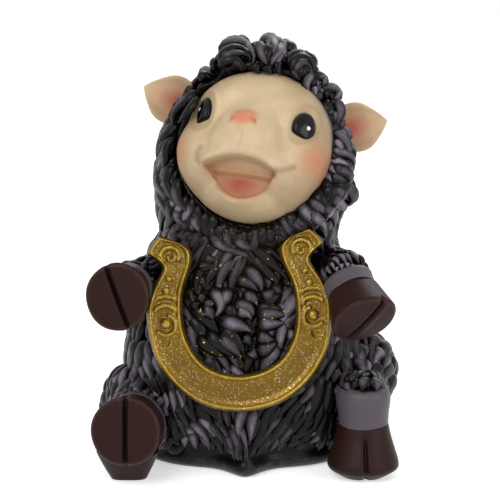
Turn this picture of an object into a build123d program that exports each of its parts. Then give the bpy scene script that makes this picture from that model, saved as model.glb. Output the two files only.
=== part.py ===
from build123d import *
from math import copysign, cos, pi, sin
import os

# Sitting lamb figurine with a horseshoe on its chest, cast in resin pieces that plug together.
# Millimetres. The ground is Z = 0 and the lamb faces -Y. Left and right are the lamb's own: its left is +X.

# Fits between castings
seat_gap = 0.2
peg_end_gap = 0.5
overrun = 60.0

# Body casting, hollow, with its casting hole closed by a plug and a felt
body_height = 64.0
body_half_width = 36.0
body_half_depth = 34.5
body_forward = 1.0
neck_half_width = 24.4
neck_shift = 1.0
neck_half_depth = 25.0
keel_reach = 8.0
keel_sharpness_share = 30.0
corner_share = 0.76
body_outline_points = 40
head_outline_points = 32
lock_height = 2.0
lock_proud = 0.4
foot_section_shares = (
    (0.00, 0.86, 0.75, 1.00),
    (0.04, 0.90, 0.79, 1.00),
)
body_section_shares = (
    (0.12, 0.947, 0.861, 0.85),
    (0.20, 0.966, 0.918, 0.60),
    (0.29, 0.980, 0.964, 0.39),
    (0.38, 0.979, 0.991, 0.21),
    (0.47, 0.966, 1.000, 0.08),
    (0.56, 0.940, 0.990, 0.02),
    (0.65, 0.903, 0.962, 0.00),
    (0.74, 0.862, 0.917, 0.00),
    (0.83, 0.817, 0.853, 0.00),
    (0.92, 0.753, 0.785, 0.00),
)
core_radius = 12.0
core_height = 40.0
plug_radius = 17.0
plug_thickness = 3.0
felt_radius = 22.0
felt_thickness = 1.0
neck_peg_radius = 8.0
neck_peg_length = 6.0

# Head casting
head_height = 51.5
head_half_width = 27.8
head_half_depth = 27.0
head_lean = 4.6
head_forward = 3.0
head_section_shares = (
    (0.09, 0.934, 0.956, 0.32),
    (0.19, 0.980, 0.984, 0.42),
    (0.29, 1.002, 1.003, 0.51),
    (0.39, 0.999, 1.008, 0.57),
    (0.49, 0.968, 0.993, 0.62),
    (0.59, 0.909, 0.953, 0.68),
    (0.69, 0.827, 0.879, 0.76),
)
crown_section_shares = (
    (0.80, 0.700, 0.750, 0.85),
    (0.92, 0.480, 0.520, 1.00),
    (1.00, 0.200, 0.220, 1.00),
)
curl_radius = 6.4
curl_shares = (
    (-0.17, -0.36, 0.890, 0.85),
    (0.19, -0.36, 0.930, 1.00),
    (0.55, -0.36, 0.850, 1.00),
    (0.80, -0.30, 0.700, 0.95),
    (0.93, -0.26, 0.530, 0.95),
    (0.88, -0.30, 0.370, 0.85),
    (-0.36, -0.33, 0.770, 0.70),
    (0.16, 0.08, 0.950, 1.00),
    (0.48, 0.10, 0.870, 1.00),
    (-0.10, 0.10, 0.890, 1.00),
)

# Face casting, measured in its own plane: X to the viewer's right, Y up, Z out of the face
face_centre_shares = (0.176, -0.531, 0.476)
face_turn = (-20.0, 11.0, -16.0)
face_radius = 21.5
face_rim_height = 8.0
face_bulge = 10.0
cheek_radius = 9.6
cheek_spread = 10.8
cheek_drop = 5.0
cheek_reach = 8.8
muzzle_half_width = 11.8
muzzle_half_height = 9.4
muzzle_half_length = 11.5
muzzle_drop = 1.6
muzzle_reach = 13.5
jaw_half_width = 9.8
jaw_half_height = 6.2
jaw_half_length = 9.5
jaw_drop = 15.2
jaw_reach = 9.0
mouth_half_width = 8.4
mouth_half_height = 3.4
mouth_half_length = 6.5
mouth_drop = 12.4
mouth_reach = 18.5
nose_radius = 3.2
nose_rise = 5.5
nose_reach = 20.5

# Eyes, domed drops with a flat lower edge, inlaid in the face
eye_half_width = 3.6
eye_half_height = 4.6
eye_floor_share = 0.62
eye_floor_turn = 16.0
eye_thickness = 3.2
eye_proud = 1.3
eye_rounding = 0.7
eye_spread = 14.5
eye_rise = 6.3
eye_outward_turn = 42.0
eye_upward_turn = -10.0

# Ears, leaves dished on the front
ear_length = 14.6
ear_half_width = 7.0
ear_root_half_width = 3.4
ear_widest_share = 0.42
ear_thickness = 3.8
ear_bowl_radius = 10.5
ear_bowl_depth = 2.3
ear_peg_radius = 1.6
ear_peg_length = 4.0
ear_root_shares = {"right": (-0.558, -0.140, 0.685), "left": (0.935, -0.167, 0.559)}
ear_reach_shares = {"right": (-0.86, -0.10, 0.50), "left": (0.96, -0.07, 0.27)}
ear_facing_shares = {"right": (-0.25, -0.93, 0.25), "left": (0.20, -0.95, 0.20)}

# Legs: places are shares of the body's half width, half depth and height
foreleg_root_radius = 8.5
foreleg_wrist_radius = 6.9
foreleg_root_shares = {"right": (-0.556, -0.174, 0.812), "left": (0.556, -0.174, 0.828)}
foreleg_wrist_shares = {"right": (-0.885, -0.841, 0.832), "left": (0.767, -0.855, 0.884)}
fore_sole_shares = {"right": (-0.953, -1.304, 0.844), "left": (0.903, -1.217, 0.730)}
thigh_radius = 13.6
thigh_inset = 15.0
thigh_centre_shares = {"right": (-0.772, -0.400, 0.250), "left": (0.840, -0.348, 0.383)}
hind_ankle_radius = 9.2
hind_ankle_radius_shares = {"right": 1.0, "left": 0.78}
hind_ankle_shares = {"right": (-0.850, -0.899, 0.222), "left": (0.917, -0.865, 0.344)}
hind_sole_shares = {"right": (-0.906, -1.304, 0.259), "left": (0.917, -0.865, 0.072)}

# Hooves, each with a top radius and a sole radius; the left hind one stands on the ground
hoof_length = 10.0
hoof_top_radius = 7.1
sole_radius = 9.2
hoof_radius_shares = {"right_fore": (1.00, 0.97), "left_fore": (0.97, 0.95), "right_hind": (1.27, 1.05),
                      "left_hind": (0.97, 1.06)}
sole_edge = 0.8
cleft_width = 0.9
cleft_depth = 1.4
cleft_turns = {"right_fore": 20.0, "left_fore": -38.0, "right_hind": 0.0}
tenon_radius = 2.6
tenon_length = 3.5
toe_forward = 1.5
ground_radius = 5.6

# Foot under the right hind hoof, whose sole faces forward
rest_height = 9.0
rest_width = 15.0
rest_length = 9.0
rest_back = 10.0
rest_taper_share = 0.5

# Horseshoe, measured in its own plane: X to the viewer's right, Y up, Z out of the front
shoe_centre_shares = (-0.039, -1.003, 0.703)
shoe_turn = (-12.0, -3.5, 0.0)
shoe_half_width = 25.3
shoe_thickness = 5.0
shoe_corner = 1.2
shoe_rim_width = 1.5
shoe_rim_height = 0.8
shoe_pin_radius = 1.8
shoe_pin_length = 7.5
shoe_pin_share = (0.74, -0.30)
stud_radius = 1.3
stud_shares = ((0.75, 0.48), (0.79, 0.14))
scroll_radius = 2.3
scroll_wire = 0.6
scroll_share = (0.70, 0.75)
shoe_sole_share = (0.0, -1.0)
shoe_throat_share = (0.0, -0.59)
shoe_arm_shares = ((1.0, 0.0), (0.98, 0.26), (0.87, 0.50), (0.80, 0.64), (0.965, 0.80), (0.82, 0.99),
                   (0.575, 0.87), (0.475, 0.74), (0.51, 0.58), (0.60, 0.34), (0.612, 0.02))

os.makedirs("parts", exist_ok=True)
sides = {"right": -1, "left": 1}


def facing(place, turn=(0, 0, 0)):
    """Plane at a place that looks forward, then is turned by degrees about X, Y and Z."""
    turned = Plane.XZ.rotated(turn)
    return Plane(origin=place, x_dir=turned.x_dir, z_dir=turned.z_dir)


def along(start, end):
    """Plane at start that looks towards end, its X as level as it can be."""
    reach = end - start
    upward = reach.cross(Axis.X.direction)
    return Plane(origin=start, x_dir=upward.cross(reach), z_dir=reach)


def on_body(shares):
    """Point at shares of the body's half width, half depth and height."""
    return Vector(shares[0] * body_half_width, shares[1] * body_half_depth, shares[2] * body_height)


def on_head(shares):
    """Point at shares of the head's half width, half depth and height, which starts at the neck."""
    return Vector(shares[0] * head_half_width, shares[1] * head_half_depth,
                  body_height + shares[2] * head_height)


def ellipsoid(half_x, half_y, half_z):
    """Unit ball stretched to three half sizes, centred on the origin."""
    with BuildPart() as form:
        Sphere(1)
        scale(by=(half_x, half_y, half_z))
    return form.part


def oval_points(count, x, y, half_width, half_depth, keel, lumps):
    """Points round a squarish oval with lumps of wool in turn, whose front can carry a sharp keel."""
    points = []
    for step in range(count):
        turn = 2 * pi * step / count
        lump = lumps[step % 2]
        across = (half_width + lump) * copysign(abs(cos(turn)) ** corner_share, cos(turn))
        backward = (half_depth + lump) * copysign(abs(sin(turn)) ** corner_share, sin(turn))
        ridge = keel * max(0, -sin(turn)) ** keel_sharpness_share
        points.append((x + across, y + backward - ridge))
    return points


def oval_stack(count, rows):
    """Solid lofted through level ovals of count points, each a height and what oval_points takes."""
    with BuildPart() as form:
        for height, *oval in rows:
            with BuildSketch(Plane.XY.offset(height)):
                with BuildLine():
                    Spline(oval_points(count, *oval), periodic=True)
                make_face()
        loft(ruled=True)
    return form.part


def body_row(shares, lumps):
    """Row of the body at shares of its height, half width, half depth and keel."""
    return (shares[0] * body_height, 0, -body_forward, shares[1] * body_half_width, shares[2] * body_half_depth,
            shares[3] * keel_reach, lumps)


def head_row(shares, lumps):
    """Row of the head at shares of its height, half width, half depth and lean."""
    return (body_height + shares[0] * head_height, shares[3] * head_lean,
            -body_forward - shares[3] * head_forward, shares[1] * head_half_width,
            shares[2] * head_half_depth, 0, lumps)


# Wool stands out in lumps that change places from row to row; the foot, neck and crown are smooth
smooth = (0, 0)
lump_turns = ((lock_proud - lock_height, lock_proud), (lock_proud, lock_proud - lock_height))

# Body form: a squat pear whose belly has a keel
neck_row = (body_height, neck_shift, -body_forward, neck_half_width, neck_half_depth, 0, smooth)
body_rows = [body_row(shares, smooth) for shares in foot_section_shares]
for number, shares in enumerate(body_section_shares):
    body_rows.append(body_row(shares, lump_turns[number % 2]))
body_form = oval_stack(body_outline_points, body_rows + [neck_row])

# Head form: a ball of wool that leans to the lamb's left as it rises
head_rows = [neck_row]
for number, shares in enumerate(head_section_shares):
    head_rows.append(head_row(shares, lump_turns[number % 2]))
for shares in crown_section_shares:
    head_rows.append(head_row(shares, smooth))
head_form = oval_stack(head_outline_points, head_rows)

# Planes of the face and the horseshoe
face_seat = facing(on_head(face_centre_shares), face_turn)
face_dome_radius = (face_radius ** 2 + face_bulge ** 2) / (2 * face_bulge)
face_dome_centre = face_rim_height + face_bulge - face_dome_radius
shoe_front = facing(on_body(shoe_centre_shares), shoe_turn)
shoe_back = shoe_front.offset(-shoe_thickness)

# Start and sole of each hoof's axis
hoof_axes = {}
for side in sides:
    hoof_axes[side + "_fore"] = (on_body(foreleg_wrist_shares[side]), on_body(fore_sole_shares[side]))
    hoof_axes[side + "_hind"] = (on_body(hind_ankle_shares[side]), on_body(hind_sole_shares[side]))


def hoof_top(name):
    """Plane between a cuff and its hoof."""
    start, sole = hoof_axes[name]
    return along(start, sole).offset((sole - start).length - hoof_length)


def eye_seat(side):
    """Plane of one eye's floor, turned outwards on the face's dome."""
    from_axis = (eye_spread ** 2 + eye_rise ** 2) ** 0.5
    out = face_dome_centre + (face_dome_radius ** 2 - from_axis ** 2) ** 0.5
    place = face_seat.location * Location((side * eye_spread, eye_rise, out),
                                          (eye_upward_turn, side * eye_outward_turn, 0))
    return Plane(place).offset(eye_proud - eye_thickness)


def eye_puck(side, gap=0, reach=eye_thickness, rounding=0):
    """Drop of one eye with a flat lower edge, or its socket when it has a gap and a longer reach."""
    seat = eye_seat(side)
    floor = eye_floor_share * eye_half_height + gap
    with BuildPart() as form:
        with BuildSketch(seat):
            Ellipse(eye_half_width + gap, eye_half_height + gap)
        extrude(amount=reach)
        if rounding:
            fillet(form.faces().sort_by(Axis(seat.origin, seat.z_dir))[-1].edges(), rounding)
        with Locations(seat.location * Location((0, 0, 0), (0, 0, -side * eye_floor_turn))):
            with Locations((0, -floor)):
                Box(2 * eye_half_height, eye_half_height, reach, align=(Align.CENTER, Align.MAX, Align.MIN),
                    mode=Mode.SUBTRACT)
    return form.part


def shoe_sketch(plane, grown=0):
    """Outline of the horseshoe on a plane, grown all round."""
    with BuildSketch(plane) as outline:
        with BuildLine():
            arms = []
            for side in (-1, 1):
                points = [(side * x * shoe_half_width, y * shoe_half_width) for x, y in shoe_arm_shares]
                arms.append(FilletPolyline(*points, radius=shoe_corner))
            for share, end in ((shoe_sole_share, 0), (shoe_throat_share, 1)):
                middle = (share[0] * shoe_half_width, share[1] * shoe_half_width)
                ThreePointArc(arms[0] @ end, middle, arms[1] @ end)
        make_face()
        if grown:
            offset(amount=grown)
    return outline.sketch


def shoe_places(share, plane):
    """Mirrored pair of locations on a plane of the horseshoe."""
    return [plane.location * Location((side * share[0] * shoe_half_width, share[1] * shoe_half_width, 0))
            for side in (-1, 1)]


def shoe_blank(gap=0, reach=shoe_thickness):
    """Plain horseshoe plate with its two pins, or its bed when it has a gap and a longer reach."""
    with BuildPart() as form:
        extrude(shoe_sketch(shoe_back, gap), amount=reach, dir=shoe_back.z_dir)
        with Locations(*shoe_places(shoe_pin_share, shoe_back)):
            Cylinder(shoe_pin_radius + gap, shoe_pin_length + gap, align=(Align.CENTER, Align.CENTER, Align.MAX))
    return form.part


def foreleg_form(side, gap=0):
    """Foreleg from its flat root to its cuff, or its pocket when it has a gap."""
    root = on_body(foreleg_root_shares[side])
    wrist, sole = hoof_axes[side + "_fore"]
    with BuildPart() as form:
        with Locations(along(root, wrist)):
            Cone(foreleg_root_radius + gap, foreleg_wrist_radius + gap, (wrist - root).length,
                 align=(Align.CENTER, Align.CENTER, Align.MIN))
        with Locations(wrist):
            Sphere(foreleg_wrist_radius + gap)
        with BuildSketch(along(wrist, sole)):
            Circle(foreleg_wrist_radius)
        with BuildSketch(hoof_top(side + "_fore")):
            Circle(hoof_radius_shares[side + "_fore"][0] * hoof_top_radius)
        loft()
    return form.part


def hind_leg_form(side, gap=0):
    """Hind leg from the flat of its thigh to its cuff, or its pocket when it has a gap."""
    centre = on_body(thigh_centre_shares[side])
    ankle, sole = hoof_axes[side + "_hind"]
    ankle_radius = hind_ankle_radius_shares[side] * hind_ankle_radius
    thigh_seat = body_half_width - thigh_inset
    with BuildPart() as form:
        with Locations(Plane(origin=centre, x_dir=(-sides[side], 0, 0))):
            Sphere(thigh_radius + gap)
        with Locations(along(centre, ankle)):
            Cylinder(ankle_radius + gap, (ankle - centre).length, align=(Align.CENTER, Align.CENTER, Align.MIN))
        with Locations(ankle):
            Sphere(ankle_radius + gap)
        with BuildSketch(along(ankle, sole)):
            Circle(ankle_radius)
        with BuildSketch(hoof_top(side + "_hind")):
            Circle(hoof_radius_shares[side + "_hind"][0] * hoof_top_radius)
        loft()
        split(bisect_by=Plane(origin=(sides[side] * thigh_seat, 0, 0), z_dir=(sides[side], 0, 0)), keep=Keep.TOP)
    return form.part


def rest_foot(gap=0):
    """Tapered foot between the right hind hoof and the ground, or its clearance when it has a gap."""
    sole = hoof_axes["right_hind"][1]
    place = (sole.X, sole.Y + rest_back)
    with BuildPart() as form:
        with BuildSketch(Plane.XY.offset(rest_height)):
            with Locations(place):
                Rectangle(rest_width + 2 * gap, rest_length + 2 * gap)
        with BuildSketch(Plane.XY):
            with Locations(place):
                Rectangle(rest_taper_share * rest_width + 2 * gap, rest_taper_share * rest_length + 2 * gap)
        loft()
    return form.part


def ear_plane(side):
    """Plane of an ear: X from its root to its tip, Z out of its bowl."""
    reach = Vector(*ear_reach_shares[side])
    across = Vector(*ear_facing_shares[side]).cross(reach)
    return Plane(origin=on_head(ear_root_shares[side]), x_dir=reach, z_dir=reach.cross(across))


def ear_blank(side, gap=0):
    """Flat leaf of an ear with the peg at its root, or its pocket when it has a gap."""
    plane = ear_plane(side)
    widest = ear_widest_share * ear_length
    root_x = plane.location * Location((0, 0, 0), (0, -90, 0))
    with BuildPart() as form:
        with BuildSketch(plane.offset(-ear_thickness / 2 - gap)):
            with BuildLine():
                Line((0, -ear_root_half_width - gap), (0, ear_root_half_width + gap))
                ThreePointArc((0, ear_root_half_width + gap), (widest, ear_half_width + gap), (ear_length, 0))
                ThreePointArc((0, -ear_root_half_width - gap), (widest, -ear_half_width - gap), (ear_length, 0))
            make_face()
        extrude(amount=ear_thickness + 2 * gap)
        with Locations(root_x):
            Cylinder(ear_peg_radius + gap, ear_peg_length + gap, align=(Align.CENTER, Align.CENTER, Align.MIN))
    return form.part


# Cutting tools shared by neighbouring pieces
foreleg_pockets = [foreleg_form(side, seat_gap) for side in sides]
hind_leg_pockets = [hind_leg_form(side, seat_gap) for side in sides]
ear_pockets = [ear_blank(side, seat_gap) for side in sides]
eye_sockets = [eye_puck(side, seat_gap, overrun) for side in sides.values()]
shoe_bed = shoe_blank(seat_gap, 2 * shoe_thickness)
rest_block = rest_foot()
rest_clearance = rest_foot(seat_gap)
base_up = (Align.CENTER, Align.CENTER, Align.MIN)
top_down = (Align.CENTER, Align.CENTER, Align.MAX)

# Torso: the hollow wool-covered body
with BuildPart() as torso:
    add(body_form)
    for pocket in hind_leg_pockets[::-1] + [shoe_bed] + foreleg_pockets:
        add(pocket, mode=Mode.SUBTRACT)
    Cylinder(core_radius, core_height, align=base_up, mode=Mode.SUBTRACT)
    Cylinder(plug_radius + seat_gap, felt_thickness + plug_thickness, align=base_up, mode=Mode.SUBTRACT)
    Cylinder(felt_radius + seat_gap, felt_thickness, align=base_up, mode=Mode.SUBTRACT)
    with Locations((0, -body_forward, body_height)):
        Cylinder(neck_peg_radius + seat_gap, neck_peg_length + peg_end_gap, align=top_down, mode=Mode.SUBTRACT)
torso.part.label = "torso"
export_step(torso.part, "parts/torso.step")

# Plug and felt that close the casting hole
with BuildPart(Plane.XY.offset(felt_thickness)) as base_plug:
    Cylinder(plug_radius, plug_thickness, align=base_up)
base_plug.part.label = "base_plug"
export_step(base_plug.part, "parts/base_plug.step")

with BuildPart() as base_felt:
    Cylinder(felt_radius, felt_thickness, align=base_up)
base_felt.part.label = "base_felt"
export_step(base_felt.part, "parts/base_felt.step")

# Head: the wool-covered back of the head with the curls of the forelock
with BuildPart() as head:
    add(head_form)
    for shares in curl_shares:
        with Locations(on_head(shares)):
            Sphere(shares[3] * curl_radius)
    with Locations((0, -body_forward, body_height)):
        Cylinder(neck_peg_radius, neck_peg_length, align=top_down)
    with Locations(face_seat):
        Cylinder(face_radius + seat_gap, overrun, align=base_up, mode=Mode.SUBTRACT)
    add(ear_pockets + [shoe_bed], mode=Mode.SUBTRACT)
head.part.label = "head"
export_step(head.part, "parts/head.step")

# Face: a round plug with a domed front, cheeks, muzzle, nose, jaw and open mouth
muzzle_form = ellipsoid(muzzle_half_width, muzzle_half_height, muzzle_half_length)
jaw_form = ellipsoid(jaw_half_width, jaw_half_height, jaw_half_length)
mouth_form = ellipsoid(mouth_half_width, mouth_half_height, mouth_half_length)
with BuildPart() as face:
    with Locations(face_seat):
        Cylinder(face_radius, face_rim_height + face_bulge, align=base_up)
        with Locations((0, 0, face_dome_centre)):
            Sphere(face_dome_radius, mode=Mode.INTERSECT)
        with Locations((-cheek_spread, -cheek_drop, cheek_reach), (cheek_spread, -cheek_drop, cheek_reach)):
            Sphere(cheek_radius)
        with Locations((0, -muzzle_drop, muzzle_reach)):
            add(muzzle_form)
        with Locations((0, -jaw_drop, jaw_reach)):
            add(jaw_form)
        with Locations((0, -mouth_drop, mouth_reach)):
            add(mouth_form, mode=Mode.SUBTRACT)
        with Locations((0, nose_rise, nose_reach)):
            Sphere(nose_radius)
    split(bisect_by=face_seat, keep=Keep.TOP)
    add(eye_sockets, mode=Mode.SUBTRACT)
face.part.label = "face"
export_step(face.part, "parts/face.step")

# Eyes
for name, side in sides.items():
    eye = eye_puck(side, rounding=eye_rounding)
    eye.label = name + "_eye"
    export_step(eye, "parts/" + name + "_eye.step")

# Ears
for name in sides:
    blank = ear_blank(name)
    bowl = ear_plane(name).location * Location((ear_widest_share * ear_length, 0,
                                                ear_thickness / 2 - ear_bowl_depth + ear_bowl_radius))
    with BuildPart() as ear:
        add(blank)
        with Locations(bowl):
            Sphere(ear_bowl_radius, mode=Mode.SUBTRACT)
    ear.part.label = name + "_ear"
    export_step(ear.part, "parts/" + name + "_ear.step")

# Forelegs and hind legs, each with a socket for its hoof's tenon
leg_forms = {"_foreleg": (foreleg_form, "_fore"), "_hind_leg": (hind_leg_form, "_hind")}
for ending, (form, hoof_ending) in leg_forms.items():
    for name in sides:
        blank = form(name)
        cuff_end = hoof_top(name + hoof_ending)
        with BuildPart() as leg:
            add(blank)
            add(shoe_bed, mode=Mode.SUBTRACT)
            add(rest_clearance, mode=Mode.SUBTRACT)
            with Locations(cuff_end):
                Cylinder(hoof_radius_shares[name + hoof_ending][0] * hoof_top_radius, hoof_length,
                         align=base_up, mode=Mode.SUBTRACT)
                Cylinder(tenon_radius + seat_gap, tenon_length + peg_end_gap, align=top_down, mode=Mode.SUBTRACT)
        leg.part.label = name + ending
        export_step(leg.part, "parts/" + name + ending + ".step")

# Hooves whose soles face forward, with a cleft across the sole
for name, turn in cleft_turns.items():
    top = hoof_top(name)
    bottom = top.offset(hoof_length)
    top_share, sole_share = hoof_radius_shares[name]
    with BuildPart() as hoof:
        with BuildSketch(top):
            Circle(top_share * hoof_top_radius)
        with BuildSketch(bottom):
            Circle(sole_share * sole_radius)
        loft()
        fillet(hoof.faces().sort_by(Axis(top.origin, top.z_dir))[-1].edges(), sole_edge)
        with Locations(bottom.location * Location((0, 0, 0), (0, 0, turn))):
            Box(cleft_width, 3 * sole_radius, cleft_depth, align=top_down, mode=Mode.SUBTRACT)
        with Locations(top):
            Cylinder(tenon_radius, tenon_length, align=top_down)
        if name == "right_hind":
            add(rest_block)
    hoof.part.label = name + "_hoof"
    export_step(hoof.part, "parts/" + name + "_hoof.step")

# Left hind hoof, standing on the ground with its toes forward and a cleft down their front
top = hoof_top("left_hind")
top_share, sole_share = hoof_radius_shares["left_hind"]
toe_radius = sole_share * sole_radius
toe_front = toe_forward + toe_radius
wall_front = top_share * hoof_top_radius
with BuildPart() as left_hind_hoof:
    with BuildSketch(top):
        Circle(wall_front)
    with BuildSketch(top.offset(hoof_length)):
        with Locations((0, toe_forward)):
            Circle(toe_radius)
    with BuildSketch(Plane(origin=(top.origin.X, top.origin.Y, 0), x_dir=top.x_dir, z_dir=top.z_dir)):
        with Locations((0, toe_forward)):
            Circle(ground_radius)
    loft(ruled=True)
    with BuildSketch(Plane(origin=top.origin, x_dir=top.z_dir, z_dir=top.x_dir)):
        with BuildLine():
            Polyline((cleft_width, wall_front - cleft_depth / 2), (hoof_length, toe_front - cleft_depth),
                     (top.origin.Z, toe_front - cleft_depth), (top.origin.Z, toe_front + cleft_depth),
                     (cleft_width, toe_front + cleft_depth), close=True)
        make_face()
    extrude(amount=cleft_width / 2, both=True, mode=Mode.SUBTRACT)
    with Locations(top):
        Cylinder(tenon_radius, tenon_length, align=top_down)
left_hind_hoof.part.label = "left_hind_hoof"
export_step(left_hind_hoof.part, "parts/left_hind_hoof.step")

# Horseshoe: the plate with a raised rim, studs, scrolls and two pins
with BuildPart() as horseshoe:
    add(shoe_blank())
    extrude(shoe_sketch(shoe_front), amount=shoe_rim_height, dir=shoe_front.z_dir)
    extrude(shoe_sketch(shoe_front, -shoe_rim_width), amount=shoe_rim_height, dir=shoe_front.z_dir,
            mode=Mode.SUBTRACT)
    for share in stud_shares:
        with Locations(*shoe_places(share, shoe_front)):
            Sphere(stud_radius)
    with Locations(*shoe_places(scroll_share, shoe_front)):
        Torus(scroll_radius, scroll_wire)
horseshoe.part.label = "horseshoe"
export_step(horseshoe.part, "parts/horseshoe.step")
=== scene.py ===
import math

import bpy
import numpy as np
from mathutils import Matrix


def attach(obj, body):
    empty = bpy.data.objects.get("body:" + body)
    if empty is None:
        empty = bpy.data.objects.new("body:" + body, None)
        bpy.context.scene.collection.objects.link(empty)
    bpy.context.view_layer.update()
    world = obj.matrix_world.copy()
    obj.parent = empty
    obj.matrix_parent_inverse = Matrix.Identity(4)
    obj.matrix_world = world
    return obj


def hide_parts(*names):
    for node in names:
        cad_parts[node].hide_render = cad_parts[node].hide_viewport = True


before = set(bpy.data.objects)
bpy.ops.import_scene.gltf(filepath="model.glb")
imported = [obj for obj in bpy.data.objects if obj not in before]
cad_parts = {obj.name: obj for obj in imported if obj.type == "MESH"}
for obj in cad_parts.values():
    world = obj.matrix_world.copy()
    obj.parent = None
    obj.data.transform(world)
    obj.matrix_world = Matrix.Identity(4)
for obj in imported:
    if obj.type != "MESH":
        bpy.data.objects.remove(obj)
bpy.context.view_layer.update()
print("frame loaded")

# Sitting black lamb ornament, cast in resin and painted by hand. Shapes are worked out in millimetres.
mm = 0.001
dice = np.random.default_rng(11)


# Length 1 along the last axis
def unit(v):
    return v / np.maximum(np.linalg.norm(v, axis=-1, keepdims=True), 1e-9)


# Smooth step: 0 below low, 1 above high, 3t^2 - 2t^3 between
def ease(value, low, high):
    t = np.clip((value - low) / (high - low), 0, 1)
    return t * t * (3 - 2 * t)


# Bell: e to the minus (value / width) squared
def bell(value, width):
    return np.exp(-(value / width) ** 2)


# A full turn in equal steps, in radians
def fullTurn(count):
    return np.linspace(0, 2 * math.pi, count, endpoint=False)


# Lower of a and b with a rounded join of size k: min(a, b) - k/4 times (1 - |a - b|/k) squared
def softMin(a, b, k):
    h = np.clip(1 - np.abs(a - b) / k, 0, 1)
    return np.minimum(a, b) - h * h * k / 4


def softMax(a, b, k):
    return -softMin(-a, -b, k)


# Cubic through the values: Hermite spans whose slopes follow the neighbours
def smoothCurve(knots, values, at):
    knots = np.asarray(knots, float)
    values = np.asarray(values, float)
    slopes = np.gradient(values, knots, axis=0)
    at = np.clip(at, knots[0], knots[-1])
    i = np.clip(np.searchsorted(knots, at, side="right") - 1, 0, len(knots) - 2)
    span = knots[i + 1] - knots[i]
    t = (at - knots[i]) / span
    if values.ndim > 1:
        t = t[..., None]
        span = span[..., None]
    return ((1 + 2 * t) * (1 - t) ** 2 * values[i] + t * (1 - t) ** 2 * span * slopes[i]
            + t * t * (3 - 2 * t) * values[i + 1] + t * t * (t - 1) * span * slopes[i + 1])


# Point i, j of a grid has the number i * cols + j; wrap joins the last column to the first
def gridQuads(rows, cols, wrap=False):
    i = np.arange(rows - 1)[:, None]
    j = np.arange(cols if wrap else cols - 1)[None, :]
    k = (j + 1) % cols
    return np.stack([i * cols + j, i * cols + k, (i + 1) * cols + k, (i + 1) * cols + j], -1).reshape(-1, 4)


# Closed skins: rings (count, rows, cols, 3) are joined to each other, and both ends close on their middle
def closedSkins(rings, marks=None):
    count, rows, cols, _ = rings.shape
    size = rows * cols + 2

    def withEnds(values):
        depth = values.shape[3:]
        ends = np.stack([values[:, 0].mean(1), values[:, -1].mean(1)], 1)
        return np.concatenate([values.reshape((count, rows * cols) + depth), ends], 1)

    points = withEnds(rings)
    j = np.arange(cols)
    k = (j + 1) % cols
    last = (rows - 1) * cols
    fans = np.concatenate([np.stack([np.full(cols, rows * cols), k, j], -1),
                           np.stack([np.full(cols, rows * cols + 1), last + j, last + k], -1)])
    quads = gridQuads(rows, cols, True)
    tris = np.concatenate([quads[:, [0, 1, 2]], quads[:, [0, 2, 3]], fans])
    corner = points[0][tris]
    corner = corner - points[0].mean(0)
    volume = np.einsum("ij,ij->i", corner[:, 0], np.cross(corner[:, 1], corner[:, 2])).sum()
    if volume < 0:
        quads = quads[:, ::-1]
        fans = fans[:, ::-1]
    shift = (np.arange(count) * size)[:, None, None]
    return {"points": points.reshape(-1, 3), "quads": (quads[None] + shift).reshape(-1, 4),
            "tris": (fans[None] + shift).reshape(-1, 3),
            "marks": {key: withEnds(value).reshape(-1) for key, value in (marks or {}).items()}}


# One closed skin from a grid of points, with its marks spread over the grid
def oneSkin(points, marks):
    spread = {key: np.broadcast_to(value, points.shape[:2])[None] for key, value in marks.items()}
    return closedSkins(points[None], spread)


# One object from its skins, at the origin, with a number for each mark at each point
def makePiece(name, skins, materials, nodes=()):
    starts = np.cumsum([0] + [len(s["points"]) for s in skins])
    points = np.concatenate([s["points"] for s in skins]) * mm
    quads = np.concatenate([s["quads"] + o for s, o in zip(skins, starts)])
    tris = np.concatenate([s["tris"] + o for s, o in zip(skins, starts)])
    dress = np.concatenate([np.full(len(s["quads"]), s.get("dress", 0)) for s in skins]
                           + [np.full(len(s["tris"]), s.get("dress", 0)) for s in skins])
    mesh = bpy.data.meshes.new(name)
    mesh.vertices.add(len(points))
    mesh.vertices.foreach_set("co", points.astype(np.float32).ravel())
    mesh.loops.add(quads.size + tris.size)
    mesh.loops.foreach_set("vertex_index", np.concatenate([quads.ravel(), tris.ravel()]).astype(np.int32))
    mesh.polygons.add(len(quads) + len(tris))
    loopStart = np.concatenate([np.arange(len(quads)) * 4, quads.size + np.arange(len(tris)) * 3])
    mesh.polygons.foreach_set("loop_start", loopStart.astype(np.int32))
    mesh.polygons.foreach_set("material_index", dress.astype(np.int32))
    mesh.polygons.foreach_set("use_smooth", np.ones(len(dress), bool))
    mesh.update(calc_edges=True)
    for key in sorted({k for s in skins for k in s["marks"]}):
        values = np.concatenate([s["marks"].get(key, np.zeros(len(s["points"]))) for s in skins])
        mesh.attributes.new(key, "FLOAT", "POINT").data.foreach_set("value", values.astype(np.float32))
    piece = bpy.data.objects.new(name, mesh)
    bpy.context.scene.collection.objects.link(piece)
    for material in materials:
        mesh.materials.append(material)
    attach(piece, "root")
    if nodes:
        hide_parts(*nodes)
    print("made", name, "with", len(quads) * 2 + len(tris), "triangles")


# Colour written as sRGB hex, turned to linear
def paint(hexText):
    parts = [int(hexText[i:i + 2], 16) / 255 for i in (1, 3, 5)]
    linear = [p / 12.92 if p <= 0.04045 else ((p + 0.055) / 1.055) ** 2.4 for p in parts]
    return (*linear, 1.0)


# Adds a node with its settings, its values and the links into it
def addNode(tree, kind, settings=None, links=None, **values):
    node = tree.nodes.new(kind)
    for key, value in (settings or {}).items():
        setattr(node, key, value)
    for key, value in values.items():
        socket = node.inputs[int(key[1:])] if key[0] == "i" and key[1:].isdigit() else node.inputs[key]
        socket.default_value = value
    for key, source in (links or {}).items():
        tree.links.new(source, node.inputs[key])
    return node


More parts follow.
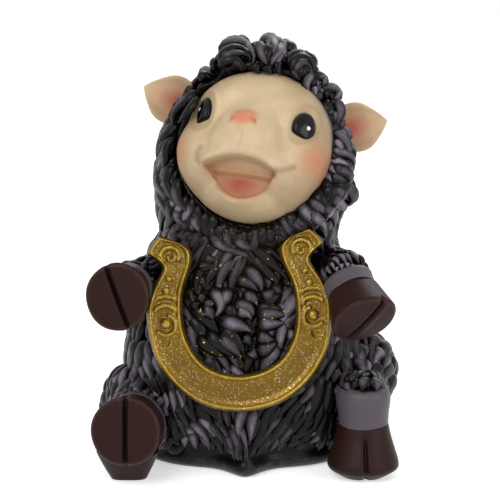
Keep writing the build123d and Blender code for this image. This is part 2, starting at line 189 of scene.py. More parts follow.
def startMaterial(name):
    material = bpy.data.materials.new(name)
    material.use_nodes = True
    tree = material.node_tree
    tree.nodes.clear()
    return material, tree


# Principled shader with its constants set on its own sockets, then joined to the output
def finishMaterial(tree, links, constants, bump=None):
    shader = addNode(tree, "ShaderNodeBsdfPrincipled")
    for key, value in constants.items():
        shader.inputs[key].default_value = value
    for key, source in links.items():
        tree.links.new(source, shader.inputs[key])
    if bump:
        height, strength, distance = bump
        made = addNode(tree, "ShaderNodeBump", links={"Height": height}, Strength=strength, Distance=distance)
        tree.links.new(made.outputs["Normal"], shader.inputs["Normal"])
    out = addNode(tree, "ShaderNodeOutputMaterial")
    tree.links.new(shader.outputs["BSDF"], out.inputs["Surface"])


def mark(tree, name):
    return addNode(tree, "ShaderNodeAttribute", {"attribute_name": name}).outputs["Fac"]


def place(tree):
    return addNode(tree, "ShaderNodeTexCoord").outputs["Object"]


# Noise whose grain is a size in millimetres
def grain(tree, size, detail=3.0, roughness=0.55):
    return addNode(tree, "ShaderNodeTexNoise", links={"Vector": place(tree)}, Scale=1 / (size * mm),
                   Detail=detail, Roughness=roughness).outputs["Fac"]


def remap(tree, source, low, high, toLow=0.0, toHigh=1.0):
    return addNode(tree, "ShaderNodeMapRange", {"interpolation_type": "SMOOTHSTEP"}, {"Value": source},
                   i1=low, i2=high, i3=toLow, i4=toHigh).outputs["Result"]


def sums(tree, operation, a, b):
    node = addNode(tree, "ShaderNodeMath", {"operation": operation})
    for i, value in enumerate((a, b)):
        if isinstance(value, (int, float)):
            node.inputs[i].default_value = value
        else:
            tree.links.new(value, node.inputs[i])
    return node.outputs[0]


# A noise's swing about its middle, times an amount
def swing(tree, noise, amount):
    return sums(tree, "MULTIPLY", sums(tree, "SUBTRACT", noise, 0.5), amount)


# Colour a where the share is 0 and colour b where it is 1; each is a hex text or a socket
def blendPaint(tree, share, a, b):
    node = addNode(tree, "ShaderNodeMix", {"data_type": "RGBA"}, {0: share})
    for i, value in ((6, a), (7, b)):
        if isinstance(value, str):
            node.inputs[i].default_value = paint(value)
        else:
            tree.links.new(value, node.inputs[i])
    return node.outputs[2]


# Wool: cast resin painted near black, dry-brushed with grey-purple on its ridges, then satin varnished. The
# darkest step, where the level is lowest in the grooves and under the strands, is painted shade; the palest
# step, on the highest brushed ridges, is a painted highlight over the brushed paint
def woolPaint():
    colours = {"hollow": "#040303", "coat": "#0c090a", "brush": "#4b444d", "paintedHighlight": "#7d7581",
               "warm": "#1d150e", "gold": "#cfae45"}
    material, tree = startMaterial("resinWoolPaint")
    crest = mark(tree, "crest")
    blotch = grain(tree, 3.2)
    streak = grain(tree, 0.7)
    uneven = swing(tree, blotch, 0.55)
    fine = swing(tree, streak, 0.35)
    level = sums(tree, "ADD", sums(tree, "ADD", crest, uneven), fine)
    # Painted shade: the darkest black where the level is lowest, in the grooves and under the strands
    colour = blendPaint(tree, remap(tree, level, 0.05, 0.35), colours["hollow"], colours["coat"])
    colour = blendPaint(tree, remap(tree, level, 0.46, 0.9), colour, colours["brush"])
    # Painted highlight: the palest grey-purple on the highest brushed ridges
    colour = blendPaint(tree, remap(tree, level, 0.86, 1.2), colour, colours["paintedHighlight"])
    colour = blendPaint(tree, sums(tree, "MULTIPLY", mark(tree, "warm"), 0.55), colour, colours["warm"])
    specks = addNode(tree, "ShaderNodeTexVoronoi", links={"Vector": place(tree)}, Scale=1 / (1.1 * mm))
    parts = addNode(tree, "ShaderNodeSeparateColor", links={"Color": specks.outputs["Color"]})
    speck = sums(tree, "LESS_THAN", specks.outputs["Distance"], 0.15)
    speck = sums(tree, "MULTIPLY", speck, sums(tree, "GREATER_THAN", parts.outputs["Red"], 0.72))
    speck = sums(tree, "MULTIPLY", speck, mark(tree, "glitter"))
    colour = blendPaint(tree, speck, colour, colours["gold"])
    rough = remap(tree, level, 0.3, 1.0, 0.30, 0.42)
    metal = sums(tree, "MULTIPLY", speck, 0.8)
    finishMaterial(tree, {"Base Color": colour, "Roughness": rough, "Metallic": metal},
                   {"IOR": 1.5, "Specular IOR Level": 0.17}, (streak, 0.25, 0.12 * mm))
    return material


# Smooth cuffs and the rim of the base: the same resin, brushed evenly with grey-purple
def cuffPaint():
    colours = {"coat": "#0d0a0b", "brush": "#544d54", "pale": "#6b636a"}
    material, tree = startMaterial("resinCuffPaint")
    blotch = grain(tree, 2.4)
    level = sums(tree, "ADD", mark(tree, "cuff"), swing(tree, blotch, 0.7))
    colour = blendPaint(tree, remap(tree, level, 0.15, 0.75), colours["coat"], colours["brush"])
    colour = blendPaint(tree, remap(tree, level, 0.85, 1.25), colour, colours["pale"])
    fine = grain(tree, 0.5)
    finishMaterial(tree, {"Base Color": colour, "Roughness": remap(tree, fine, 0.3, 0.7, 0.36, 0.48)},
                   {"IOR": 1.5, "Specular IOR Level": 0.2}, (fine, 0.2, 0.1 * mm))
    return material


# Face and ears: cast resin with a matt cream paint and sprayed blush, and brown painted shade in the creases,
# under the upper lip, round the face's margin and round the ears' base and bowl rim
def creamPaint():
    colours = {"cream": "#c3ab86", "pale": "#cfb993", "shadeBrown": "#76563a", "blush": "#c8704e",
               "nose": "#cf7a58", "mouth": "#97371a", "lip": "#a66741", "fringe": "#6f737a",
               "inner": "#c8654c"}
    material, tree = startMaterial("resinCreamPaint")
    cloud = grain(tree, 7.0, 2.0)
    fine = grain(tree, 0.45, 4.0)
    colour = blendPaint(tree, remap(tree, cloud, 0.3, 0.75), colours["cream"], colours["pale"])
    # The brown at strength 0.75 is painted shade; then blush, nose, ear pink, lip and mouth paint
    for key, name, strength in (("shadeBrown", "crease", 0.75), ("blush", "blush", 0.6), ("nose", "nose", 0.9),
                                ("inner", "inner", 0.95), ("lip", "lip", 0.85), ("mouth", "mouth", 0.95)):
        spread = sums(tree, "MULTIPLY", mark(tree, name), strength)
        colour = blendPaint(tree, spread, colour, colours[key])
    ragged = sums(tree, "ADD", mark(tree, "fringe"), sums(tree, "SUBTRACT", grain(tree, 1.1), 0.5))
    colour = blendPaint(tree, remap(tree, ragged, 0.45, 0.75, 0.0, 0.8), colour, colours["fringe"])
    finishMaterial(tree, {"Base Color": colour, "Roughness": remap(tree, fine, 0.3, 0.7, 0.5, 0.62)},
                   {"IOR": 1.5, "Subsurface Weight": 0.06, "Subsurface Scale": 1.0 * mm,
                    "Subsurface Radius": (1.0, 0.6, 0.4)}, (fine, 0.12, 0.1 * mm))
    return material


# Eyes: black gloss enamel over the cream, with one dot of white paint
def eyePaint(name, dot):
    colours = {"black": "#020202", "soft": "#070608", "white": "#f2f2f0"}
    material, tree = startMaterial(name)
    away = addNode(tree, "ShaderNodeVectorMath", {"operation": "DISTANCE"}, {0: place(tree)},
                   i1=tuple(np.array(dot) * mm))
    spot = remap(tree, away.outputs["Value"], 0.62 * mm, 0.50 * mm)
    cloud = grain(tree, 1.6)
    colour = blendPaint(tree, cloud, colours["black"], colours["soft"])
    colour = blendPaint(tree, spot, colour, colours["white"])
    finishMaterial(tree, {"Base Color": colour, "Roughness": remap(tree, cloud, 0.3, 0.7, 0.14, 0.2)},
                   {"IOR": 1.5, "Specular IOR Level": 0.22})
    return material


# Hooves: cast resin with a dark brown paint, satin, a little lighter along the sole's rim, round the top and
# beside the cleft, and darkest in the cleft
def hoofPaint():
    colours = {"deep": "#0a0504", "brown": "#26120f", "lighterBrown": "#3d2620"}
    material, tree = startMaterial("resinHoofPaint")
    blotch = grain(tree, 2.0)
    fine = grain(tree, 0.35, 4.0)
    level = sums(tree, "ADD", mark(tree, "edge"), swing(tree, blotch, 0.35))
    colour = blendPaint(tree, mark(tree, "groove"), colours["brown"], colours["deep"])
    colour = blendPaint(tree, remap(tree, level, 0.45, 1.1), colour, colours["lighterBrown"])
    finishMaterial(tree, {"Base Color": colour, "Roughness": remap(tree, fine, 0.3, 0.7, 0.38, 0.52)},
                   {"IOR": 1.5, "Specular IOR Level": 0.13}, (fine, 0.2, 0.1 * mm))
    return material


# Horseshoe: metallic gold paint over resin with glitter in cells of 0.28 mm; painted shade darkens the
# hollows, the bevelled edges and the sides, and a painted highlight lightens the raised rim and scrolls
def goldPaint():
    colours = {"deep": "#48350a", "gold": "#745709", "paintedHighlight": "#9c7f22", "glitter": "#f4e8c8"}
    material, tree = startMaterial("goldGlitterPaint")
    relief = mark(tree, "relief")
    cloud = grain(tree, 1.6)
    level = sums(tree, "ADD", relief, swing(tree, cloud, 0.3))
    # Painted shade where the relief level is low, painted highlight where it is high
    colour = blendPaint(tree, remap(tree, level, -0.1, 0.42), colours["deep"], colours["gold"])
    colour = blendPaint(tree, remap(tree, level, 0.7, 1.1), colour, colours["paintedHighlight"])
    cells = addNode(tree, "ShaderNodeTexVoronoi", links={"Vector": place(tree)}, Scale=1 / (0.28 * mm))
    parts = addNode(tree, "ShaderNodeSeparateColor", links={"Color": cells.outputs["Color"]})
    spark = sums(tree, "GREATER_THAN", parts.outputs["Red"], 0.84)
    spark = sums(tree, "MULTIPLY", spark, sums(tree, "LESS_THAN", cells.outputs["Distance"], 0.42))
    colour = blendPaint(tree, sums(tree, "MULTIPLY", spark, 0.55), colour, colours["glitter"])
    rough = remap(tree, cloud, 0.3, 0.7, 0.34, 0.46)
    rough = sums(tree, "SUBTRACT", rough, sums(tree, "MULTIPLY", spark, 0.14))
    tilt = sums(tree, "ADD", sums(tree, "MULTIPLY", parts.outputs["Green"], 0.6), grain(tree, 0.5))
    finishMaterial(tree, {"Base Color": colour, "Roughness": rough}, {"Metallic": 0.65},
                   (tilt, 0.18, 0.1 * mm))
    return material


# Underside: pressed wool felt, and the soft grey plug of the casting hole
def feltCloth():
    material, tree = startMaterial("pressedFelt")
    fibre = grain(tree, 0.5, 6.0, 0.7)
    colour = blendPaint(tree, remap(tree, fibre, 0.35, 0.65), "#15241a", "#2c4433")
    finishMaterial(tree, {"Base Color": colour, "Roughness": remap(tree, fibre, 0.2, 0.8, 0.88, 0.98)},
                   {"Sheen Weight": 0.4, "Sheen Roughness": 0.5}, (fibre, 0.7, 0.25 * mm))
    return material


def plugRubber():
    material, tree = startMaterial("mouldedPlugRubber")
    fine = grain(tree, 0.8)
    colour = blendPaint(tree, fine, "#2a2a2c", "#3b3b3e")
    finishMaterial(tree, {"Base Color": colour, "Roughness": remap(tree, fine, 0.3, 0.7, 0.6, 0.75)}, {},
                   (fine, 0.15, 0.1 * mm))
    return material


wool = woolPaint()
cuff = cuffPaint()
cream = creamPaint()
hoof = hoofPaint()
gold = goldPaint()
felt = feltCloth()
rubber = plugRubber()
print("materials made")


body = {"height": 64.0, "halfWidth": 36.0, "halfDepth": 34.5, "forward": 1.0, "squareness": 2.63, "keel": 8.0,
        "keelWidth": 6.0, "neckShare": 0.9, "neckShift": 10, "top": 66,
        "rows": ((0.00, 0.86, 0.75, 1.0), (0.04, 0.90, 0.79, 1.0), (0.22, 0.97, 0.93, 0.55),
                 (0.45, 0.97, 1.00, 0.10), (0.70, 0.88, 0.94, 0.0), (0.90, 0.77, 0.80, 0.0),
                 (1.00, 0.678, 0.725, 0.0))}
head = {"bottom": 64.0, "height": 51.5, "halfWidth": 27.8, "halfDepth": 27.0, "middle": 83.0, "above": 32.5,
        "below": 44.0, "lean": 4.6, "forward": 3.0, "squareness": 2.3, "collar": 23.2, "collarOut": 1.6,
        "collarRadius": 3.7, "collarJoin": 2.5, "curlJoin": 2.0, "leanStart": 0.25, "back": 1}
curlBalls = ((-3.2, -11.0, 111.6, 5.6), (5.0, -10.5, 113.2, 5.8), (15.6, -11.5, 110.3, 5.4),
             (21.5, -11.5, 104.8, 3.2), (24.6, -11.5, 99.0, 3.9), (25.4, -11.0, 93.2, 3.9),
             (26.6, -10.5, 85.2, 4.6), (27.6, -10.0, 76.5, 4.8), (-12.0, -12.5, 106.4, 3.4),
             (-2.0, -1.0, 113.5, 5.6), (8.5, -1.0, 113.6, 5.8), (15.0, 1.0, 110.0, 5.6))
limbs = {"right": {"root": (-20.0, -6.0, 52.0), "wrist": (-31.9, -29.0, 53.2),
                   "foreTop": (-32.8, -35.1, 53.5), "thigh": (-27.8, -13.8, 16.0),
                   "ankle": (-30.6, -31.0, 14.2), "hindTop": (-31.2, -35.2, 14.9)},
         "left": {"root": (20.0, -6.0, 53.0), "wrist": (27.6, -29.5, 56.6), "foreTop": (29.6, -34.5, 52.6),
                  "thigh": (30.2, -12.0, 24.5), "ankle": (33.0, -29.8, 22.0), "hindTop": (33.0, -29.8, 14.6)}}
limbRadius = {"root": 8.5, "wrist": 6.9, "foreTop": 7.0, "thigh": 13.6,
              "ankle": {"right": 9.2, "left": 7.2}, "hindTop": {"right": 9.0, "left": 6.9}}
facePlane = {"origin": np.array((4.893, -14.337, 88.514)), "x": np.array((0.9436, -0.3217, -0.0781)),
             "y": np.array((0.1908, 0.3357, 0.9224)), "z": np.array((-0.2706, -0.8853, 0.3782))}


# Places along a setting's own axes, from its origin: across, up, out
def ownAxes(setting, p):
    d = p - np.array(setting["origin"])
    return tuple(d @ np.array(setting[key]) for key in "xyz")


# The other way: places from their distances across, up and out along a setting's own axes
def placed(setting, x, y, z):
    origin, ax, ay, az = (np.array(setting[key]) for key in ("origin", "x", "y", "z"))
    x, y, z = (np.asarray(value)[..., None] for value in (x, y, z))
    return origin + x * ax + y * ay + z * az


def inFace(p):
    return ownAxes(facePlane, p)


# Distance to the body: how far the point's squarish oval stands outside the body's own at that height
def bodyField(p):
    rows = np.array(body["rows"])
    share = np.clip(p[..., 2] / body["height"], 0, 1)
    wide, deep, keel = smoothCurve(rows[:, 0], rows[:, 1:], share).transpose(-1, *range(p.ndim - 1))
    halfWidth = wide * body["halfWidth"]
    halfDepth = deep * body["halfDepth"]
    n = body["squareness"]
    shift = np.where(share > body["neckShare"], (share - body["neckShare"]) * body["neckShift"], 0)
    x = np.abs(p[..., 0] - shift) / halfWidth
    y = (p[..., 1] + body["forward"]) / halfDepth
    ring = (x ** n + np.abs(y) ** n + 1e-9) ** (1 / n)
    ridge = keel * body["keel"] * bell(p[..., 0], body["keelWidth"]) * (y < 0)
    return (ring - 1) * np.minimum(halfWidth, halfDepth) - ridge + np.maximum(p[..., 2] - body["top"], 0)


# Distance to the head: a squarish egg that leans as it rises, joined softly to the balls of its curls and
# to a collar of wool round the face
def headField(p):
    share = np.clip((p[..., 2] - head["bottom"]) / head["height"], 0, 1)
    lean = head["leanStart"] + (1 - head["leanStart"]) * share
    n = head["squareness"]
    x = np.abs(p[..., 0] - lean * head["lean"]) / head["halfWidth"]
    y = np.abs(p[..., 1] + head["back"] + lean * head["forward"]) / head["halfDepth"]
    up = p[..., 2] - head["middle"]
    z = up / np.where(up > 0, head["above"], head["below"])
    distance = (np.sqrt((x ** n + y ** n + 1e-9) ** (2 / n) + z * z) - 1) * head["halfDepth"]
    for cx, cy, cz, radius in curlBalls:
        ball = np.sqrt((p[..., 0] - cx) ** 2 + (p[..., 1] - cy) ** 2 + (p[..., 2] - cz) ** 2) - radius
        distance = softMin(distance, ball, head["curlJoin"])
    across, over, out = inFace(p)
    rise = 1.5 * ease(-over, 4, 16) - 2.4 * ease(over, 2, 12)
    ring = np.hypot(across, over) - head["collar"]
    collar = np.hypot(ring, out - head["collarOut"] - rise) - head["collarRadius"]
    return softMin(distance, collar, head["collarJoin"])


# Distance to a limb whose radius runs evenly from one end to the other
def limbField(p, start, end, startRadius, endRadius):
    start = np.array(start)
    axis = np.array(end) - start
    t = np.clip(((p - start) @ axis) / (axis @ axis), 0, 1)
    radius = startRadius + (endRadius - startRadius) * t
    return np.linalg.norm(p - start - t[..., None] * axis, axis=-1) - radius


def forelegField(p, side):
    limb = limbs[side]
    upper = limbField(p, limb["root"], limb["wrist"], limbRadius["root"], limbRadius["wrist"])
    lower = limbField(p, limb["wrist"], limb["foreTop"], limbRadius["wrist"], limbRadius["foreTop"])
    return softMin(upper, lower, 1.5)


def hindLegField(p, side):
    limb = limbs[side]
    ankle = limbRadius["ankle"][side]
    radius = limbRadius["thigh"]
    thigh = limbField(p, limb["thigh"], limb["thigh"] + np.array((0, 0, 0.1)), radius, radius)
    upper = limbField(p, limb["thigh"], limb["ankle"], ankle, ankle)
    lower = limbField(p, limb["ankle"], limb["hindTop"], ankle, limbRadius["hindTop"][side])
    return softMin(softMin(thigh, upper, 3.0), lower, 1.5)


def legField(side, kind):
    form = forelegField if kind == "fore" else hindLegField
    return lambda p: form(p, side)


def trunkField(p):
    return softMin(bodyField(p), headField(p), 3.0)


slopeStep = 0.05


# Outward direction of a form, from its change over two steps
def outward(field, p):
    step = slopeStep
    slope = [field(p + step * axis) - field(p - step * axis) for axis in np.eye(3)]
    return np.stack(slope, -1) / (2 * step)


# Moves points onto a form along its slope
def settle(field, p, rounds=3):
    for _ in range(rounds):
        slope = outward(field, p)
        p = p - slope * (field(p) / np.maximum((slope ** 2).sum(-1), 0.05))[..., None]
    return p, unit(outward(field, p))


# Follows rays from their origins out to a form, by its distance over its slope along the ray
def castRays(field, origins, rays, start, rounds):
    p = origins + rays * start
    for _ in range(rounds):
        slope = (outward(field, p) * rays).sum(-1)
        p = p - rays * (field(p) / np.maximum(slope, 0.35))[..., None]
    return p


studio = {"lens": 149.5, "camera": (0.0014, -0.5869, 0.1823), "tilt": 78.0, "world": 0.5,
          "lamps": (("keyLamp", (-0.35, -0.75, 0.75), 0.55, 5.2), ("fillLamp", (0.65, -0.55, 0.35), 0.5, 2.2),
                    ("backLamp", (0.25, 0.65, 0.6), 0.4, 2.0))}

shoeSettings = {
    "origin": (-1.404, -34.604, 44.992), "x": (0.9981, 0.0127, 0.0597), "y": (-0.061, 0.2075, 0.9763),
    "z": (0.0, -0.9781, 0.2079), "halfWidth": 25.3, "thickness": 5.0, "woolBelow": -1.6,
    "rimAt": 0.95, "rimWidth": 0.75, "rimHeight": 0.8, "lineAt": 2.35, "lineWidth": 0.42, "lineHeight": 0.22,
    "armLength": 62.0, "bevel": 1.2, "sunk": 0.35, "sides": (-1.6, -3.4),
    "outer": ((0, -1), (0.38, -0.925), (0.71, -0.705), (0.925, -0.38), (1.0, 0.0), (0.975, 0.26),
              (0.88, 0.47), (0.80, 0.62), (0.885, 0.735), (0.96, 0.80), (0.82, 0.985)),
    "inner": ((0, -0.59), (0.235, -0.54), (0.43, -0.42), (0.56, -0.21), (0.612, 0.02), (0.604, 0.30),
              (0.55, 0.48), (0.492, 0.62), (0.472, 0.74), (0.50, 0.82), (0.585, 0.875)),
    "lobes": ((0.46, 0.55), (0.535, 0.35), (0.385, 0.3), (0.31, 0.3))}


lockSettings = {"rings": 12}


# Middle lines that walk over a form from their roots in equal steps, turning at each step by its share of
# bend + 3 wave cos(2 pi t + phase)
def walkLocks(field, roots, headings, lengths, bends, waves, phases):
    rings = lockSettings["rings"]
    point, normal = settle(field, roots)
    heading = unit(headings - (headings * normal).sum(-1, keepdims=True) * normal)
    points, normals, ways = [point], [normal], [heading]
    for i in range(rings - 1):
        t = (i + 0.5) / (rings - 1)
        turn = ((bends + waves * np.cos(2 * math.pi * t + phases) * 3) / (rings - 1))[:, None]
        heading = heading * np.cos(turn) + np.cross(normal, heading) * np.sin(turn)
        point, normal = settle(field, point + heading * lengths[:, None] / (rings - 1), 2)
        heading = unit(heading - (heading * normal).sum(-1, keepdims=True) * normal)
        points.append(point)
        normals.append(normal)
        ways.append(heading)
    return np.stack(points, 1), np.stack(normals, 1), np.stack(ways, 1)


# Values between the rings of each lock, at places counted in rings
def between(values, at):
    low = np.minimum(at.astype(int), values.shape[1] - 2)[..., None]
    part = at[..., None] - low
    return np.take_along_axis(values, low, 1) * (1 - part) + np.take_along_axis(values, low + 1, 1) * part


# Where the horseshoe covers the wool, the wool is pressed back along the horseshoe's axis to just below its
# face
def behindShoe(p):
    shoe = shoeSettings
    half = shoe["halfWidth"]
    across, up, out = ownAxes(shoe, p)
    u, v = np.abs(across) / half, up / half
    corners = np.array(shoe["outer"] + shoe["inner"][::-1])
    covered = np.zeros(u.shape, bool)
    for (ax, ay), (bx, by) in zip(corners, np.roll(corners, -1, 0)):
        if ay != by:
            covered ^= ((ay > v) != (by > v)) & (u < (bx - ax) * (v - ay) / (by - ay) + ax)
    back = np.where(covered, np.maximum(out - shoe["woolBelow"], 0), 0)
    return p - back[..., None] * np.array(shoe["z"])


# Wool stands in clumps: strands side by side on one middle line, each a pointed ridge of its own length. A
# strand's half width goes with sin(pi t^0.6)^0.75, and its section above the form with (1 - s^2)^0.6, s
# from -1 to 1 across. The brushed paint goes with (1 - s^2)^1.5 and with 1 - 0.3 t^3
clumpSettings = {"rings": 13, "across": 7, "overlap": 1.4, "crown": 0.85, "sink": 1.6, "rootSink": 0.8,
                 "tipLift": 0.6, "underside": 1.0, "dome": 0.9, "lowest": 0.4, "startSpread": 0.10,
                 "endSpread": 0.18, "sideStart": 0.14, "sideEnd": 0.12, "brushed": (0.3, 1.35),
                 "strandShade": (0.8, 1.1), "tipFade": 0.3, "skinCrest": 0.12}


def lockSkins(field, points, normals, ways, widths, strands, lift=1.0, extra=None, glow=None, proud=0.0):
    setting = clumpSettings
    last = points.shape[1] - 1
    t = np.linspace(0, 1, setting["rings"])[None, :]
    s = np.concatenate([np.linspace(-1, 1, setting["across"]), (0.5, -0.5)])
    isTop = np.arange(len(s)) < setting["across"]
    shape = np.clip(np.sin(math.pi * t ** 0.6), 0.03, 1) ** 0.75
    numbers = np.maximum(np.round(strands), 1).astype(int)
    if glow is None:
        glow = random(*setting["brushed"], len(points))
    skins = []
    for j in range(numbers.max()):
        chosen = numbers > j
        number = numbers[chosen][:, None]
        slot = (2 * j + 1) / number - 1
        several = number > 1
        begin = (setting["sideStart"] * slot ** 2
                 + random(0.0, setting["startSpread"], len(number))[:, None] * several)
        finish = (1 - setting["sideEnd"] * slot ** 2
                  - random(0.0, setting["endSpread"], len(number))[:, None] * several)
        along = begin + (finish - begin) * t
        line, normal, way = (between(values[chosen], along * last) for values in (points, normals, ways))
        half = widths[chosen][:, None] / number
        offset = slot * widths[chosen][:, None] * (0.82 + 0.34 * along)
        reach = offset[..., None] + (half * shape * setting["overlap"])[..., None] * s
        spread = line[:, :, None] + np.cross(normal, way)[:, :, None] * reach[..., None]
        seat, rise = settle(field, spread, 2)
        base = (setting["dome"] * (1 - slot ** 2) * shape + lift * setting["tipLift"] * t ** 2
                + proud - setting["sink"] - setting["rootSink"] * (1 - t) ** 3)[..., None]
        ridge = np.clip(1 - s * s, 0, 1)
        height = np.where(isTop, base + setting["crown"] * (half * shape)[..., None] * ridge ** 0.6,
                          base - setting["underside"] * shape[..., None])
        rings = seat + rise * height[..., None]
        rings[..., 2] = np.maximum(rings[..., 2], setting["lowest"])
        rings = behindShoe(rings)
        shine = glow[chosen][:, None] * random(*setting["strandShade"], len(number))[:, None]
        shine = shine * ease(t, 0.0, 0.35)
        fade = 1 - setting["tipFade"] * t[..., None] ** 3
        marks = {"crest": np.where(isTop, shine[..., None] * fade * ridge ** 1.5, 0.0)}
        for key, value in (extra or {}).items():
            marks[key] = value(rings)
        skins.append(closedSkins(rings, marks))
    return skins


# Glitter and a warm tint have strayed from the horseshoe onto the wool near it
def nearShoe(p):
    return bell(np.linalg.norm((p - np.array((-1.4, -36.0, 46.0))) * np.array((1, 0.7, 1)), axis=-1), 24.0)


def warmTint(p):
    x, y, z = p[..., 0], p[..., 1], p[..., 2]
    return bell(np.hypot(x + 1, z - 60), 17.0) * ease(-y, 12, 24) * 0.9


strayed = {"glitter": lambda p: (nearShoe(p) > 0.3).astype(float), "warm": warmTint}


def random(low, high, count):
    return dice.uniform(low, high, count)


# Dark skin under the locks: rays from an axis out to a form, pushed in by a depth
def formSkin(field, origins, rays, start, depth):
    p = castRays(field, origins, rays, start, 9)
    return oneSkin(p - unit(outward(field, p)) * depth, {"crest": clumpSettings["skinCrest"]})


